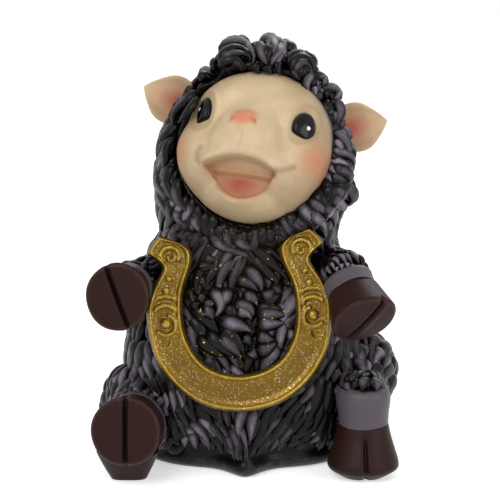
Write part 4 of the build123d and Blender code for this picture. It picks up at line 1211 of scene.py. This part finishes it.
# Circles whose radius and forward shift run smoothly down the wall; the cleft is pressed in towards the
# axis
def makeStandingHoof():
    setting = standingHoof
    rows = np.array(setting["rows"])
    t = np.linspace(0, 1, 60)
    z, radius, shift = smoothCurve(np.linspace(0, 1, len(rows)), rows, t).T
    angle = fullTurn(160)[None, :]
    wobble = 1 + 0.02 * np.cos(2 * angle)
    x = radius[:, None] * np.cos(angle) * wobble
    y = -radius[:, None] * np.sin(angle) * wobble
    front = ease(-y, 1.0, 4.0)
    curve = 0.5 * np.sin(2.2 * t)[:, None]
    fade = ease(t, 0.02, 0.25)[:, None]
    cleft = bell(x - curve, 0.45 + 0.35 * t[:, None]) * front * fade
    toes = 0.5 * (1 - bell(x - curve, 2.6)) * front * ease(t, 0.3, 0.7)[:, None]
    pull = 1 - (1.5 * cleft - toes * 0.3) / np.maximum(np.hypot(x, y), 1)
    x, y = x * pull, y * pull
    centreX, centreY = setting["centre"]
    points = np.stack([centreX + x, centreY - shift[:, None] + y, z[:, None] + 0 * x], -1)
    edge = bell(z - 3.3, 0.9)[:, None] * front * 0.7 + bell(z - 14.2, 0.8)[:, None] * 0.4
    makePiece("leftHindHoof", [oneSkin(points, {"edge": edge, "groove": cleft})], [hoof],
              ("left_hind_hoof",))


makeStandingHoof()


faceSettings = {"radius": 21.5, "domeRadius": 28.1, "domeCentre": -10.1, "wall": 9.0, "cells": 190,
                "temple": 0.16,
                "muzzleRidge": ((-24, 6.0), (-21.2, 8.0), (-19, 13.5), (-17.5, 15.8), (-14, 17.2),
                                (-11, 18.2), (-9.2, 19.4), (-7.6, 21.6), (-6.2, 23.4), (-4.6, 24.3),
                                (-2, 24.0), (2, 23.0), (5.5, 20.6), (8, 16.6), (11, 12.0), (16, 5.0),
                                (24, -6.0)),
                "creases": (((-10.6, -9.4), (-11.9, -8.2), (-12.2, -6.2), (-11.6, -4.4)),
                            ((10.4, -9.4), (12.6, -8.6), (15.0, -6.6))),
                "cheek": {"x": 12.0, "y": 5.6, "height": 18.9, "spread": 15.0, "join": 2.4},
                "jaw": {"y": 15.6, "height": 18.3, "halfWidth": 9.8, "halfHeight": 6.0, "join": 2.2},
                "muzzleShift": 1.7, "mouthShift": 0.9, "lipBow": 0.026, "lowerLip": -17.4, "lowerBow": 0.075,
                "upperLip": -5.9, "palate": -10.2, "templeTurn": 2.2, "edgeStart": 18.2, "edgeRadius": 3.31,
                "edgeDrop": 3.2}
faceMarks = {"eye": (14.5, 6.3), "blush": ((-19.6, -5.6), (19.6, -3.2))}


# Distance from each place to the nearest point of a line through a few stops
def nearLine(x, y, stops):
    best = np.full_like(x, 99.0)
    for (ax, ay), (bx, by) in zip(stops[:-1], stops[1:]):
        lengthSquared = (bx - ax) ** 2 + (by - ay) ** 2
        t = np.clip(((x - ax) * (bx - ax) + (y - ay) * (by - ay)) / lengthSquared, 0, 1)
        best = np.minimum(best, np.hypot(x - ax - t * (bx - ax), y - ay - t * (by - ay)))
    return best


# 1 on both sides of the middle line, fading out over a stretch before a limit
def within(x, limit, fade):
    return ease(limit - np.abs(x), 0, fade)


# Height of the face over its plane: a dome, cheeks, a jaw and a muzzle joined softly, with lids, nose and
# an open mouth between an upper lip line and a lower lip line; also the paint marks
def faceForm(x, y):
    setting = faceSettings
    cheek, jaw = setting["cheek"], setting["jaw"]
    fromAxis = np.minimum(x * x + y * y, 26.0 ** 2)
    height = np.sqrt(setting["domeRadius"] ** 2 - fromAxis) + setting["domeCentre"]
    for side in (-1, 1):
        away = (x - side * cheek["x"]) ** 2 + (y + cheek["y"]) ** 2
        height = softMax(height, cheek["height"] - away / cheek["spread"], cheek["join"])
    jawForm = (jaw["height"] - (x / jaw["halfWidth"]) ** 2 * 5.5
               - ((y + jaw["y"]) / jaw["halfHeight"]) ** 2 * 6.0)
    height = softMax(height, jawForm, jaw["join"])
    faceX = x
    lipX = faceX - setting["muzzleShift"] * bell(y + 6.0, 4.5)
    bowed = y + setting["lipBow"] * lipX * lipX
    knots = np.array(setting["muzzleRidge"])
    ridge = smoothCurve(knots[:, 0], knots[:, 1], bowed)
    halfWidth = np.clip(8.2 + (5.0 - y) * 0.33, 6.5, 12.4)
    q = np.minimum(np.abs(lipX) / halfWidth, 1.7)
    x = faceX - setting["mouthShift"] * ease(-y, 4.0, 8.0)
    muzzle = ridge - 1.3 * q ** 2 - 3.6 * q ** 6
    height = softMax(height, np.where(bowed > -9.0, muzzle, muzzle - 4 * ease(-bowed, 8.6, 15.0)),
                     2.6 + 3.0 * ease(y, -3.0, 4.0))
    # Mouth: the palate slopes back under the lip to a line, and the tongue lies in the hollow below it
    lower = setting["lowerLip"] + setting["lowerBow"] * x * x
    upper = setting["upperLip"] - setting["lipBow"] * lipX * lipX
    palateLine = setting["palate"] - 0.002 * x * x
    inside = ease(upper - y, 0.0, 1.2) * ease(y - lower, 0.1, 1.6) * within(x, 11.4, 1.6)
    slope = 17.4 + 0.80 * (y - palateLine) - 0.020 * x * x
    hollow = 15.2 + 1.1 * bell(np.hypot(x / 1.6, y + 13.6), 3.0) - 0.014 * x * x
    mouthFloor = slope + (hollow - slope) * ease(palateLine - y, -0.2, 0.9)
    height = height + (np.minimum(mouthFloor, height) - height) * inside
    steepness = np.hypot(1, 0.15 * x)
    lipLine = bell((y - lower) / steepness, 0.6) * within(x, 11.6, 1.5)
    height = height + 0.55 * bell((y - lower + 0.8) / steepness, 0.8) * within(x, 11.0, 3.0)
    height = height + 0.35 * bell(bowed + 5.2, 1.3) * within(x, 11.5, 3.0)
    # Smile creases from the corners of the mouth up between muzzle and cheek
    crook = np.maximum(*(bell(nearLine(faceX, y, line), 0.8) for line in setting["creases"]))
    height = height - 0.65 * crook
    # Nose: a soft triangle with two slits and a tip, and a faint groove below
    nose = bell(np.hypot((x + 0.3) / 1.55, y - 4.9), 2.6)
    tip = bell(np.hypot(x - 0.6, y - 2.1), 1.9)
    slit = np.zeros_like(x)
    for side in (-1, 1):
        dx, dy = x + 0.2 - side * 3.0, y - 4.2
        slit += bell(np.hypot((dx + side * 0.5 * dy) / 0.62, dy / 1.15), 1.0)
    groove = bell(x - 0.7, 0.55) * ease(y, -5.0, -3.0) * ease(-y, -1.5, 0.5)
    height = height + 1.5 * nose + 0.7 * tip - 1.1 * slit - 0.22 * groove
    # Eyes: a shallow socket with a raised lid line round it, and a soft brow above
    lid = np.zeros_like(x)
    for side in (-1, 1):
        ex, ey = (x - side * faceMarks["eye"][0]) / 3.0, (y - faceMarks["eye"][1]) / 4.6
        ring = np.hypot(ex, ey)
        lid += bell(ring - 1.25, 0.16)
        height = height + 0.55 * bell(ring - 1.38, 0.26) - 0.7 * (1 - ease(ring, 0.7, 1.15))
        height = height + 0.7 * bell(np.hypot((x - side * 11.5) / 5, (y - 13.2) / 2.6), 1.0)
    # Temple: a low swelling beside the right eye; then the rounded edge of the face
    turned = np.arctan2(y, faceX)
    radius = np.hypot(faceX, y)
    height = height + 2.4 * bell(turned - setting["templeTurn"], 0.5) * ease(radius, 9, 19)
    blush = sum(bell(np.hypot((faceX - bx) * 1.15, (y - by) * 0.8), 3.8) for bx, by in faceMarks["blush"])
    overEdge = np.clip((radius - setting["edgeStart"]) / setting["edgeRadius"], 0, 1)
    height = height - setting["edgeDrop"] * (1 - np.sqrt(1 - overEdge ** 2))
    opening = ease(palateLine - y, -0.1, 0.9) * ease(y - lower, 0.1, 1.2) * within(x, 11.2, 1.6)
    tongue = opening * (0.30 + 0.70 * bell(np.hypot(x / 1.6, y + 13.0), 3.3))
    palate = ease(upper - y, 0.0, 1.5) * ease(y - palateLine, -0.4, 1.0) * within(x, 11.4, 1.6)
    palateEdge = bell(y - palateLine, 0.4) * within(x, 10.5, 2.0)
    # Painted shade in brown: in the creases, round the margin and most at its sides, in the slits and lids, on
    # the palate under the upper lip and in the groove
    marginShade = (0.28 + 0.3 * np.abs(np.cos(turned))) * ease(radius, 13.0, 20.5)
    crease = np.clip(0.55 * crook + marginShade + 0.8 * slit + 0.26 * lid
                     + 0.42 * palate * ease(y - palateLine, 0.5, 4.0)
                     + 0.3 * bell(upper - y - 0.8, 0.8) * within(x, 11.5, 2) + 0.12 * groove, 0, 1)
    pink = 1 - ease(np.hypot((x + 0.2) / 1.5, y - 5.0), 1.6, 3.4)
    marks = {"blush": blush, "nose": np.clip(0.9 * pink + 0.25 * tip, 0, 1), "mouth": tongue,
             "lip": np.clip(0.55 * lipLine + 0.7 * palateEdge
                           + 0.8 * palate * ease(palateLine - y, -4.4, -0.4) + 0.35 * opening, 0, 1),
             "crease": crease,
             "fringe": ease(radius, 20.6, 21.7) * ease(y, -4.0, 6.0)}
    return height, marks


# The grid is a square mapped to a disc, x = u sqrt(1 - v^2/2), y = v sqrt(1 - u^2/2), then a wall down to
# the seat
def makeFace():
    setting = faceSettings
    cells = setting["cells"]
    u, v = np.meshgrid(np.linspace(-1, 1, cells), np.linspace(-1, 1, cells), indexing="ij")
    x = setting["radius"] * u * np.sqrt(1 - v * v / 2)
    y = setting["radius"] * v * np.sqrt(1 - u * u / 2)
    wider = (1 + setting["temple"] * bell(np.arctan2(y, x) - setting["templeTurn"], 0.55)
             * (np.hypot(x, y) / setting["radius"]) ** 2)
    x, y = x * wider, y * wider
    height, marks = faceForm(x, y)
    points = facePlane["origin"] + (x[..., None] * facePlane["x"] + y[..., None] * facePlane["y"]
                                    + height[..., None] * facePlane["z"])
    quads = gridQuads(cells, cells)[:, ::-1]
    index = np.arange(cells * cells).reshape(cells, cells)
    edge = np.concatenate([index[:-1, 0], index[-1, :-1], index[:0:-1, -1], index[0, :0:-1]])
    rim = points.reshape(-1, 3)[edge]
    count = len(edge)
    walls = [rim - facePlane["z"] * setting["wall"] * share * 0.8 for share in (0.3, 0.65, 1.0)]
    centre = rim.mean(0) - facePlane["z"] * setting["wall"]
    allPoints = np.concatenate([points.reshape(-1, 3)] + walls + [centre[None]])
    loops = [edge] + [cells * cells + i * count + np.arange(count) for i in range(3)]
    for a, b in zip(loops[:-1], loops[1:]):
        quads = np.concatenate([quads, np.stack([a, b, np.roll(b, -1), np.roll(a, -1)], -1)])
    tris = np.stack([loops[-1], np.full(count, len(allPoints) - 1), np.roll(loops[-1], -1)], -1)
    flat = {}
    for key, value in marks.items():
        ringValue = value.reshape(-1)[edge]
        flat[key] = np.concatenate([value.reshape(-1)] + [ringValue] * 3 + [[ringValue.mean()]])
    skin = {"points": allPoints, "quads": quads, "tris": tris, "marks": flat}
    makePiece("facePaint", [skin], [cream], ("face",))


makeFace()


eyeSettings = {
    "right": {"origin": (-9.612, -18.444, 99.573), "x": (0.5451, -0.7835, 0.2984),
              "y": (0.2349, 0.4844, 0.8427), "z": (-0.8048, -0.3893, 0.4481),
              "dot": (-0.9, 0.5), "slim": 0.72},
    "left": {"origin": (15.2, -27.3, 96.7), "x": (0.8574, 0.3053, -0.4144), "y": (0.2349, 0.4844, 0.8427),
             "z": (0.458, -0.8199, 0.3436), "dot": (0.7, 0.0), "slim": 0.95}}
eyeShape = {"halfWidth": 3.6, "halfHeight": 4.6, "floor": 0.62, "floorTurn": 16.0, "wall": 1.9, "dome": 1.5}


# Eye: an oval cut softly by a slanting lower line, domed 1.5 mm by sqrt(1 - r^2)
def makeEyes():
    shape = eyeShape
    for name, side in (("right", -1), ("left", 1)):
        setting = eyeSettings[name]
        angle = fullTurn(96)
        oval = 1 / np.hypot(np.cos(angle) / shape["halfWidth"], np.sin(angle) / shape["halfHeight"])
        turn = math.radians(-side * shape["floorTurn"])
        downward = np.cos(angle) * math.sin(turn) - np.sin(angle) * math.cos(turn)
        chord = shape["floor"] * shape["halfHeight"] / np.maximum(downward, 0.02)
        outline = softMin(oval, chord, 0.5)
        share = np.concatenate([[1.0, 1.0], np.linspace(0.985, 0.01, 26)])
        x = share[:, None] * outline * np.cos(angle)
        y = share[:, None] * outline * np.sin(angle)
        reach = 1 - (x / shape["halfWidth"] / 1.03) ** 2 - (y / shape["halfHeight"] / 1.03) ** 2
        reach = np.clip(reach, 0, 1)
        z = shape["wall"] + shape["dome"] * np.sqrt(reach) * np.clip((1 - share[:, None]) / 0.12, 0, 1) ** 0.5
        z[0] = 0.0
        points = placed(setting, x * setting["slim"], y, z)
        dx, dy = setting["dot"]
        dot = placed(setting, dx * setting["slim"], dy, shape["wall"] + shape["dome"] * 0.95)
        makePiece(name + "EyeEnamel", [oneSkin(points, {})], [eyePaint(name + "EyeGloss", dot)],
                  (name + "_eye",))


makeEyes()


earSettings = {
    "right": {"origin": (-15.51, -3.78, 99.28), "x": (-0.8602, -0.1, 0.5001),
              "y": (-0.4913, -0.1005, -0.8652), "z": (0.1368, -0.9899, 0.0373), "droop": 0.8},
    "left": {"origin": (25.99, -4.51, 92.79), "x": (0.9603, -0.07, 0.2701), "y": (-0.2579, 0.1468, 0.955),
             "z": (-0.1065, -0.9867, 0.1229), "droop": -0.6}}
earShape = {"length": 14.6, "start": -2.5,
            "widths": ((0.0, 3.4), (0.12, 4.2), (0.3, 6.4), (0.48, 7.1), (0.66, 6.3), (0.82, 4.0),
                       (0.93, 1.9), (1.0, 0.25)),
            "thickness": 1.5, "bowl": 1.9}


# Ear: closed sections along its length; the front is a bowl with a rounded rim, the back is full
def makeEars():
    shape = earShape
    t = np.linspace(0, 1, 60)
    widths = np.array(shape["widths"])
    half = smoothCurve(widths[:, 0], widths[:, 1], t)
    angle = fullTurn(72)
    for name in ("right", "left"):
        setting = earSettings[name]
        along = shape["start"] + (shape["length"] - shape["start"]) * t
        s = np.cos(angle)[None, :]
        taper = np.sqrt(np.clip(1 - t ** 4, 0.02, 1))[:, None]
        fullness = (0.35 + 0.65 * np.minimum(half / 6, 1))[:, None]
        lens = np.sin(angle)[None, :] * shape["thickness"] * taper * fullness
        bowlDepth = shape["bowl"] * np.sin(math.pi * t ** 0.8)[:, None]
        curl = bowlDepth * (np.abs(s) ** 2.2 - 0.75)
        z = lens + curl + 0.9 * (t[:, None] - 0.3) * np.abs(setting["droop"])
        y = half[:, None] * s + setting["droop"] * t[:, None] ** 2
        x = along[:, None] + 0 * s
        points = placed(setting, x, y, z)
        isFront = ease(np.sin(angle), -0.1, 0.4)[None, :]
        inner = bell(s, 0.78) * bell(t[:, None] - 0.40, 0.42) * isFront
        deep = bell(s, 0.42) * bell(t[:, None] - 0.34, 0.22) * isFront
        # Painted shade: a darker brown band round the ear's base and along the inner rim of the bowl
        crease = (0.25 * bell(t[:, None] - 0.05, 0.1) + 0.3 * bell(np.abs(s) - 0.72, 0.16) * isFront
                  * ease(t[:, None], 1.0, 0.7))
        bowl = np.clip(0.5 * inner + 0.6 * deep, 0, 1)
        makePiece(name + "EarPaint", [oneSkin(points, {"inner": bowl, "crease": crease})], [cream],
                  (name + "_ear",))


makeEars()


# Raised ornament on each arm, in shares of the half width: centre, radius, start and end of its arc in
# degrees, ridge width and height in millimetres; a radius of 0 is a dot
shoeScrolls = (
    (0.715, 0.745, 2.5, -30, 215, 0.55, 0.9), (0.70, 0.73, 0.9, 100, 400, 0.45, 0.7),
    (0.735, 0.50, 0.0, 0, 360, 0.75, 0.9), (0.775, 0.375, 0.0, 0, 360, 0.95, 1.2),
    (0.80, 0.07, 3.7, 35, 145, 0.55, 0.9), (0.80, 0.10, 5.4, 50, 128, 0.5, 0.7),
    (0.80, 0.02, 0.0, 0, 360, 1.25, 1.3), (0.80, 0.0, 2.7, 100, 330, 0.5, 0.8),
    (0.82, -0.18, 1.8, 150, 320, 0.5, 0.6),
)


def shoeRelief(px, py):
    total = np.zeros_like(px)
    half = shoeSettings["halfWidth"]
    for cx, cy, radius, first, last, width, height in shoeScrolls:
        dx, dy = np.abs(px) - cx * half, py - cy * half
        distance = np.hypot(dx, dy)
        if radius:
            angle = (np.degrees(np.arctan2(dy, dx)) - first) % 360
            sweep = last - first
            within = ease(angle, -12, 10) * ease(sweep + 12 - angle, 0, 22)
            total = softMax(total, 0.85 * height * bell(distance - radius, width * 1.3) * within, 0.15)
        else:
            total = np.maximum(total, height * np.sqrt(np.clip(1 - (distance / (width * 1.15)) ** 2, 0, 1)))
    return total


# Outline with its corners rounded by a running mean that keeps both ends
def smoothed(line):
    weights = np.hanning(27) / np.hanning(27).sum()
    padded = np.concatenate([2 * line[:1] - line[13:0:-1], line, 2 * line[-1:] - line[-2:-15:-1]])
    return np.stack([np.convolve(padded[:, i], weights, mode="valid") for i in range(2)], -1)


# Horseshoe: sections from the inner to the outer edge, carried round the bend. Front: a rounded edge, a
# raised rim with a finer line inside it at each edge, and the scrolls
def makeHorseshoe():
    setting = shoeSettings
    half = setting["halfWidth"]
    t = np.linspace(-1, 1, 420)
    knots = np.linspace(0, 1, len(setting["outer"]))
    outer = smoothCurve(knots, np.array(setting["outer"]), np.abs(t)) * half
    inner = smoothCurve(knots, np.array(setting["inner"]), np.abs(t)) * half
    lug = np.zeros_like(t)
    for at, size in setting["lobes"]:
        lug += size * bell(np.abs(t) - at, 0.022)
    outer = outer + unit(outer - inner) * lug[:, None]
    outer[:, 0] *= np.sign(t)
    inner[:, 0] *= np.sign(t)
    outer, inner = smoothed(outer), smoothed(inner)
    width = np.linalg.norm(outer - inner, axis=1)
    s = np.linspace(0, 1, 46)
    front = inner[:, None] + (outer - inner)[:, None] * s[None, :, None]
    fromInner = s[None, :] * width[:, None]
    fromOuter = width[:, None] - fromInner
    toEnd = np.minimum(t + 1, 1 - t)[:, None] * setting["armLength"]
    edge = np.minimum(np.minimum(fromInner, fromOuter), toEnd)
    rim = bell(edge - setting["rimAt"], setting["rimWidth"]) * setting["rimHeight"]
    fineLine = bell(edge - setting["lineAt"], setting["lineWidth"]) * setting["lineHeight"]
    bevel = -setting["bevel"] * (1 - ease(edge, -0.3, 1.0))
    scroll = shoeRelief(front[..., 0], front[..., 1]) * ease(edge, 0.6, 1.8) * (np.abs(t) > 0.3)[:, None]
    z = softMax(rim, scroll, 0.3) + fineLine + bevel
    z = z - setting["sunk"] * ease(edge, 1.6, 2.4) * (1 - ease(scroll, 0.0, 0.4))
    depth = np.array((*setting["sides"], -setting["thickness"]))
    sides = [np.broadcast_to(edgeLine[:, None], (len(t), 3, 2)) for edgeLine in (outer, inner)]
    flat = np.concatenate([front] + sides, 1)
    heights = np.concatenate([z] + [np.broadcast_to(d, (len(t), 3)) for d in (depth, depth[::-1])], 1)
    points = placed(setting, flat[..., 0], flat[..., 1], heights)
    # The relief level sets the painted shade and highlight: low in the hollows, on the bevels and sides, high
    # on the rim and scrolls
    relief = np.clip(0.45 + 0.75 * z + 0.12 * (fineLine > 0.1), 0, 1.2)
    reliefAll = np.concatenate([relief, np.full((len(t), 6), 0.25)], 1)
    makePiece("horseshoeGold", [oneSkin(points, {"relief": reliefAll})], [gold],
              ("horseshoe",))


makeHorseshoe()


feltSettings = {"radius": 22.0, "thickness": 1.0}


# Felt: a disc with a rounded, slightly uneven edge, closed on its middle above and below
def makeFelt():
    radius, thick = feltSettings["radius"], feltSettings["thickness"]
    angle = fullTurn(180)[None, :]
    shares = np.concatenate([np.linspace(0.02, 0.98, 20), [1.0, 0.995], np.linspace(0.98, 0.02, 20)])
    r = shares[:, None] * radius
    z = np.concatenate([np.full(20, 0.0), [thick * 0.3, thick * 0.7], np.full(20, thick)])[:, None]
    r = r * (1 + 0.0025 * np.sin(17 * angle) + 0.002 * np.sin(41 * angle + 1))
    points = np.stack([r * np.cos(angle), r * np.sin(angle), z + 0 * r], -1)
    makePiece("baseFelt", [oneSkin(points, {})], [felt], ("base_felt",))


makeFelt()

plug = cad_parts["base_plug"]
if plug.material_slots:
    for holder in plug.material_slots:
        holder.material = rubber
else:
    plug.data.materials.append(rubber)
print("underside made")


# 1 for rays from the camera, by a reflection or through a surface; 0 for light that only spreads
def seenRays(tree):
    path = addNode(tree, "ShaderNodeLightPath")
    return sums(tree, "MAXIMUM", path.outputs["Is Camera Ray"],
                sums(tree, "MAXIMUM", path.outputs["Is Glossy Ray"], path.outputs["Is Transmission Ray"]))


def makeStudio():
    cameraData = bpy.data.cameras.new("camera")
    cameraData.lens = studio["lens"]
    cameraData.sensor_width = 36.0
    cameraData.clip_start = 0.01
    camera = bpy.data.objects.new("camera", cameraData)
    camera.location = studio["camera"]
    camera.rotation_euler = (math.radians(studio["tilt"]), 0, 0)
    bpy.context.scene.collection.objects.link(camera)
    bpy.context.scene.camera = camera
    for name, where, size, power in studio["lamps"]:
        lampData = bpy.data.lights.new(name, "AREA")
        lampData.size = size
        lampData.energy = power
        lamp = bpy.data.objects.new(name, lampData)
        lamp.location = where
        aim = np.array((0, 0, 0.06)) - np.array(where)
        tilt = math.acos(-aim[2] / np.linalg.norm(aim))
        lamp.rotation_euler = (tilt, 0, math.atan2(aim[1], aim[0]) - math.pi / 2)
        bpy.context.scene.collection.objects.link(lamp)
    world = bpy.data.worlds.new("studioWorld")
    bpy.context.scene.world = world
    world.use_nodes = True
    tree = world.node_tree
    tree.nodes.clear()
    seen = seenRays(tree)
    soft = addNode(tree, "ShaderNodeBackground", Color=(1, 1, 1, 1), Strength=studio["world"])
    white = addNode(tree, "ShaderNodeBackground", Color=(1, 1, 1, 1), Strength=1.0)
    mixed = addNode(tree, "ShaderNodeMixShader", links={0: seen, 1: soft.outputs[0], 2: white.outputs[0]})
    addNode(tree, "ShaderNodeOutputWorld", links={"Surface": mixed.outputs[0]})
    # Floor: white paper that keeps the shadow; what the camera sees of it is lifted to white
    material, tree = startMaterial("whitePaper")
    fibre = grain(tree, 1.5)
    tone = blendPaint(tree, fibre, "#fbfbfb", "#f3f3f3")
    diffuse = addNode(tree, "ShaderNodeBsdfDiffuse", links={"Color": tone})
    lifted = sums(tree, "MULTIPLY", seenRays(tree), 0.5)
    glow = addNode(tree, "ShaderNodeEmission", links={"Strength": lifted})
    both = addNode(tree, "ShaderNodeAddShader", links={0: diffuse.outputs[0], 1: glow.outputs[0]})
    addNode(tree, "ShaderNodeOutputMaterial", links={"Surface": both.outputs[0]})
    size = 1.6
    grid = np.linspace(-size, size, 9)
    gx, gy = np.meshgrid(grid, grid, indexing="ij")
    mesh = bpy.data.meshes.new("floor")
    mesh.from_pydata(np.stack([gx, gy, 0 * gx - 0.0001], -1).reshape(-1, 3).tolist(), [],
                     gridQuads(9, 9).tolist())
    mesh.materials.append(material)
    floor = bpy.data.objects.new("floor", mesh)
    bpy.context.scene.collection.objects.link(floor)
    bpy.context.scene.view_settings.view_transform = "Standard"
    print("studio made")


makeStudio()
